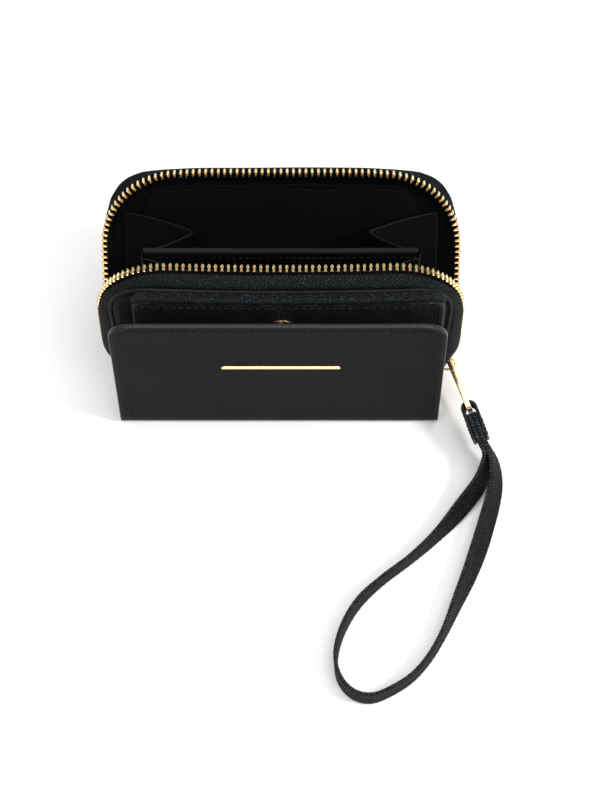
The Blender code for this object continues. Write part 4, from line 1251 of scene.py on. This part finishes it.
# Half plan of a slider plate: (distance from the zip plane, along the zip)
SHIELD = [(0.0, -4.0), (1.3, -3.98), (2.2, -3.75), (2.62, -3.2), (2.68, -2.2), (2.78, -1.0),
          (3.05, 0.4), (3.28, 1.7), (3.3, 2.7), (3.05, 3.4), (2.5, 3.85), (1.7, 4.0),
          (0.8, 3.9), (0.0, 3.75)]
# (distance out from the tooth line, scale of the plan)
PLATE_LAYERS = [(1.5, 0.93), (1.58, 0.985), (1.75, 1.0), (2.05, 1.0), (2.25, 0.985),
                (2.36, 0.94), (2.42, 0.84), (2.44, 0.5), (2.44, 0.15)]
WEDGE = [(0.0, 1.55), (0.2, 1.9), (0.32, 2.6), (0.3, 3.4), (0.2, 3.8), (-0.2, 3.8),
         (-0.3, 3.4), (-0.32, 2.6), (-0.2, 1.9)]
WEDGE_LAYERS = [(-1.56, 1.05), (-1.2, 1.0), (0.0, 1.0), (1.2, 1.0), (1.56, 1.05)]


def at_slider(out, y, run):
    return SLIDER + OUT * out + Vector((0, 1, 0)) * y + RUN * run


def shield(k):
    right = [(y * k, z * (1 - (1 - k) * 0.75)) for y, z in SHIELD]
    return right + mirrored(right[1:-1])


groups = [[[at_slider(sign * out, y, z) for y, z in shield(k)] for out, k in PLATE_LAYERS]
          for sign in (-1, 1)]
groups.append([[at_slider(out, y * k, z) for y, z in WEDGE] for out, k in WEDGE_LAYERS])
# flanges along the sides of both plates
for sign in (-1, 1):
    for side in (-1, 1):
        rings = []
        for i, z in enumerate(spread(-3.2, 2.8, 12)):
            reach = 2.52 + 0.62 * clamped((z + 2.6) / 5.0)
            k = 0.55 if i in (0, 12) else 1.0
            rings.append([at_slider(sign * 1.54 + a * 0.27 * k, side * reach + b * 0.30 * k, z)
                          for a, b in oval(1, 1, 10, 2.6)])
        groups.append(rings)
tubes("slider_shell", groups, GOLD, "slider", "slider_body", smooth=30)

# Bridge: a strip bent round the eye, with two legs down to the plate
BRIDGE_R = 1.9
bridge_out = square_to(OUT, ACROSS)
bridge_side = ACROSS.cross(bridge_out).normalized()
leg = ((EYE - SLIDER).dot(OUT) - 2.35 - 0.05) / bridge_out.dot(OUT)
path = [(bridge_side * BRIDGE_R - bridge_out * drop, bridge_side) for drop in (leg, leg * 0.5)]
for a in spread(0, math.pi, 24):
    normal = bridge_out * math.sin(a) + bridge_side * math.cos(a)
    path.append((normal * BRIDGE_R, normal))
path += [(-bridge_side * BRIDGE_R - bridge_out * drop, -bridge_side) for drop in (leg * 0.5, leg)]
rings = []
for i, (p, normal) in enumerate(path):
    k = 1.25 if i in (0, len(path) - 1) else 1.0
    rings.append([EYE + p + normal * (x * k) + ACROSS * (y * k)
                  for x, y in oval(0.42, 0.8, 16, 2.8)])
tubes("slider_bridge", [rings], GOLD, "slider", "slider_bail")

# ---- puller: a rectangular loop of square bar, its corners just eased ---------------------------
PULLER_HALF, PULLER_BAR, PULLER_R = 5.5, 0.9, 0.7
puller_long = (BAR - EYE).length
corners = [Vector((x, y, 0)) for x, y in ((0.0, -PULLER_HALF), (puller_long, -PULLER_HALF),
                                          (puller_long, PULLER_HALF), (0.0, PULLER_HALF))]
plan = []
for k in range(4):
    corner, after = corners[k], corners[(k + 1) % 4]
    back, ahead = (corners[k - 1] - corner).normalized(), (after - corner).normalized()
    centre = corner + back * PULLER_R + ahead * PULLER_R
    plan += [centre - ahead * (PULLER_R * c) - back * (PULLER_R * s) for c, s in quarter(6)]
    start, end = corner + ahead * PULLER_R, after - ahead * PULLER_R
    plan += [start.lerp(end, i / 6) for i in range(1, 6)]
sweep("puller_loop", [EYE + ALONG * p.x + ACROSS * p.y for p in plan],
      oval(PULLER_BAR, PULLER_BAR, 20, 7.0), ALONG.cross(ACROSS).normalized(), GOLD, "puller",
      "puller_frame", loop=True)

# ---- tab: hide folded round the bar, sewn through the webbing -----------------------------------
TAB_DIR = square_to(Vector((0.38, -0.80, -0.57)), ACROSS)
TAB_NORMAL = ACROSS.cross(TAB_DIR).normalized()
if TAB_NORMAL.x > 0:
    TAB_NORMAL = -TAB_NORMAL
TAB_R, TAB_THICK, TAB_LONG, TAB_WIDE = 1.75, 1.15, 11.0, 8.8
middle_r = TAB_R + TAB_THICK / 2
line = [TAB_NORMAL * middle_r + TAB_DIR * d for d in spread(TAB_LONG, 0, 12)[:-1]]
line += [TAB_NORMAL * (middle_r * math.cos(a)) - TAB_DIR * (middle_r * math.sin(a))
         for a in spread(0, math.pi, 16)]
line += [-TAB_NORMAL * middle_r + TAB_DIR * d for d in spread(0, TAB_LONG, 12)[1:]]
rows = [[tuple(BAR + p + ACROSS * w) for w in spread(-TAB_WIDE / 2, TAB_WIDE / 2, 12)]
        for p in line]
sheet("tab_hide", rows, TAB_THICK, SMOOTH, "strap", "strap_tab", rim=DARK_PAINT, reach=0.3,
      steps=3)

# Seams on each face as pairs of (along the tab, across it): two across, then two along
end_x, side_x = TAB_WIDE / 2 - 1.2, TAB_WIDE / 2 - 1.1
TAB_SEAMS = [[(4.6, -end_x), (4.6, end_x)], [(9.4, -end_x), (9.4, end_x)],
             [(4.9, -side_x), (9.2, -side_x)], [(4.9, side_x), (9.2, side_x)]]
seams = []
for normal in (TAB_NORMAL, -TAB_NORMAL):
    origin = BAR + normal * (TAB_R + TAB_THICK + 0.02)
    seams += [([origin + TAB_DIR * d + ACROSS * w for d, w in seam], normal)
              for seam in TAB_SEAMS]
stitches("tab_stitch", seams, "strap", pitch=1.7, long=1.1, radius=0.11, lift=0.0)

# ---- webbing loop -------------------------------------------------------------------------------
WEB_WIDE, WEB_THICK = 10.0, 1.35
WEB_PACK = 0.25              # extra half thickness of each end where it fills the tab
WEB_STEP = 0.30
WEB_RIB = 1.05
WEB_COLUMNS = 17
# (x, y, lean from upright in degrees, lift off the floor)
STATIONS = [(71, -34.9, 22, 5), (68.7, -42.2, 24, 2.4), (61.8, -51.4, 24, 0.6),
            (53.2, -61.3, 8, 0), (44.2, -69.8, 0, 0), (34.2, -77.8, 0, 0), (26.2, -85.8, 4, 0),
            (20.8, -95.3, 4, 0), (18.4, -104.8, 3, 0), (19.6, -112.6, 0, 0), (24, -118, 0, 0),
            (30.4, -119.6, 0, 0), (37.8, -116.6, 0, 0), (44.8, -111.6, 0, 0),
            (50.6, -104.4, -2, 0), (55.2, -96, -6, 0), (59.6, -85.8, -16, 0),
            (63.9, -75.8, -27, 0), (67.6, -65.8, -34, 0), (70.6, -56.2, -34, 0.2),
            (72.9, -48, -31, 1.5), (73.9, -41.2, -26, 3.4), (72.9, -34.7, -21, 5.4)]

tab_end = BAR + TAB_DIR * (TAB_LONG - 0.6)
tab_in = BAR + TAB_DIR * 2.0
packed_run = (tab_end - tab_in).length
offset = TAB_NORMAL * (WEB_THICK / 2 + 0.17)
controls = [(tab_in + offset, -ACROSS), (tab_end + offset, -ACROSS)]     # (point, width's way)
for i, (x, y, lean, lift) in enumerate(STATIONS):
    before, after = STATIONS[max(i - 1, 0)], STATIONS[min(i + 1, len(STATIONS) - 1)]
    along = Vector((after[0] - before[0], after[1] - before[1], 0)).normalized()
    lean_sin, lean_cos = math.sin(math.radians(lean)), math.cos(math.radians(lean))
    width = Vector((along.y, -along.x, 0)) * lean_sin + Vector((0, 0, lean_cos))
    z = WEB_WIDE / 2 * lean_cos + WEB_THICK / 2 * abs(lean_sin) + 0.1 + lift
    controls.append((Vector((x, y, z)), width))
controls += [(tab_end - offset, -ACROSS), (tab_in - offset, -ACROSS)]


def catmull(points, t):
    i = min(int(t), len(points) - 2)
    f = t - i
    p0 = points[i - 1] if i > 0 else points[0] * 2 - points[1]
    p1, p2 = points[i], points[i + 1]
    p3 = points[i + 2] if i + 2 < len(points) else points[-1] * 2 - points[-2]
    return 0.5 * ((2 * p1) + (p2 - p0) * f + (2 * p0 - 5 * p1 + 4 * p2 - p3) * f * f
                  + (-p0 + 3 * p1 - 3 * p2 + p3) * f ** 3)


turns = [k / 24 for k in range((len(controls) - 1) * 24 + 1)]
fine_points = [catmull([c[0] for c in controls], t) for t in turns]
fine_widths = [catmull([c[1].normalized() for c in controls], t) for t in turns]
lengths = arc_lengths(fine_points)
web_long = lengths[-1]
n = int(web_long / WEB_STEP)
runs = [web_long * i / n for i in range(n + 1)]
centres, widths = [], []
for j, f in marks(lengths, runs):
    centres.append(fine_points[j].lerp(fine_points[j + 1], f))
    widths.append(fine_widths[j].lerp(fine_widths[j + 1], f).normalized())


def web_point(u, v, face):
    """(across, height) at run u and share v of the half width, on the face 1 or -1."""
    edge = max(0.0, (abs(v) - 0.86) / 0.14)
    # twill ribs slant and turn back at the middle; the selvedge is a ribbed cord
    phase = u / WEB_RIB + face * abs(v) * WEB_WIDE / 2 * 0.42 / WEB_RIB
    rib = 0.075 * (abs(((phase % 1.0) - 0.5) * 2) ** 0.8 * 2 - 1)
    bead = 0.11 * math.cos(2 * math.pi * (u / WEB_RIB * 0.5 + (0.25 if v > 0 else 0.0)))
    height = (WEB_THICK / 2 - 0.09 + rib) * (1 - edge) \
        + (0.30 + bead) * math.sqrt(max(0.0, 1 - edge ** 2)) * min(1, edge * 3)
    packed = 1 - ease(min(u, web_long - u), packed_run + 4.0, packed_run + 12.0)
    across = v * (WEB_WIDE / 2 - 0.08)
    if edge > 0.9:
        across += 0.08 * math.cos(2 * math.pi * u / WEB_RIB) * math.copysign(1, v)
    return across, max(height, 0.12) + WEB_PACK * packed


rings = []
for i, u in enumerate(runs):
    along = (centres[min(i + 1, n)] - centres[max(i - 1, 0)]).normalized()
    width = square_to(widths[i], along)
    normal = along.cross(width).normalized()
    ring = []
    for face in (1, -1):
        for k in range(WEB_COLUMNS):
            v = face * (-1 + 2 * k / (WEB_COLUMNS - 1))
            across, height = web_point(u, v, face)
            ring.append(centres[i] + width * across + normal * (face * height))
    rings.append(ring)
tubes("wrist_webbing", [rings], WEB, "strap", "strap_webbing", smooth=60)

# ---- frame pieces that only need their material -------------------------------------------------
for name in ("base_board", "rear_board"):
    board = frame["nodes"][name]
    board.data.materials.clear()
    board.data.materials.append(BOARD)

# ---- floor, lights, world and camera, in metres -------------------------------------------------
# (y, z) of the floor, curving up at the back
FLOOR_PROFILE = [(-1.6, 0.0), (0.9, 0.0), (1.25, 0.03), (1.5, 0.16), (1.6, 0.5), (1.62, 1.4)]
FLOOR_DROP = 0.00005


def stage_floor():
    bm = bmesh.new()
    grid = [[bm.verts.new((x, y, z - FLOOR_DROP)) for x in spread(-2.2, 2.2, 12)]
            for y, z in FLOOR_PROFILE]
    for a, b in zip(grid, grid[1:]):
        for i in range(12):
            bm.faces.new((a[i], a[i + 1], b[i + 1], b[i]))
    mesh = bpy.data.meshes.new("studio_floor")
    bm.to_mesh(mesh)
    bm.free()
    mesh.shade_smooth()
    t = Shader("floor_paper", base=(0.93, 0.93, 0.925), rough=0.75, specular=0.1)
    cloud = t.noise(t.coords(scale=(1, 1, 1)), scale=2.0, detail=2)
    t.feed(t.surface["Base Color"], t.mix(cloud, (0.925, 0.925, 0.92), (0.94, 0.94, 0.937)))
    mesh.materials.append(t.material)
    ob = bpy.data.objects.new("studio_floor", mesh)
    bpy.context.scene.collection.objects.link(ob)


def aim(ob, location, target):
    ob.location = location
    ob.rotation_euler = (Vector(target) - ob.location).to_track_quat("-Z", "Y").to_euler()
    bpy.context.scene.collection.objects.link(ob)


def area(name, location, target, size, power, colour=(1, 1, 1)):
    light = bpy.data.lights.new(name, "AREA")
    light.shape = "RECTANGLE"
    light.size, light.size_y = size
    light.energy = power
    light.color = colour
    aim(bpy.data.objects.new(name, light), location, target)


stage_floor()
area("key_right", location=(0.80, -0.22, 0.90), target=(0.0, 0.0, 0.03), size=(0.24, 0.24),
     power=8.5, colour=(1.0, 0.985, 0.965))
area("fill_top", location=(0.0, -0.1, 1.5), target=(0.0, -0.03, 0.0), size=(1.5, 1.5),
     power=22.0)
area("fill_front", location=(-0.5, -1.1, 0.8), target=(0.0, 0.0, 0.03), size=(0.8, 0.6),
     power=2.0, colour=(0.97, 0.98, 1.0))

scene = bpy.context.scene
scene.world = bpy.data.worlds.new("studio")
scene.world.use_nodes = True
background = scene.world.node_tree.nodes["Background"].inputs
background["Color"].default_value = (1.0, 0.992, 0.98, 1)
background["Strength"].default_value = 0.34

CAMERA_RISE = math.radians(66.0)
CAMERA_DISTANCE = 0.966
CAMERA_TARGET = Vector((0.0064, -0.0260, 0.040))
camera = bpy.data.cameras.new("camera")
camera.sensor_width = 36.0
camera.lens = 129.105
camera.clip_start, camera.clip_end = 0.01, 20.0
scene.camera = bpy.data.objects.new("camera", camera)
back = Vector((0, -math.cos(CAMERA_RISE), math.sin(CAMERA_RISE)))
aim(scene.camera, CAMERA_TARGET + back * CAMERA_DISTANCE, CAMERA_TARGET)
scene.view_settings.view_transform = "Standard"
scene.view_settings.look = "None"
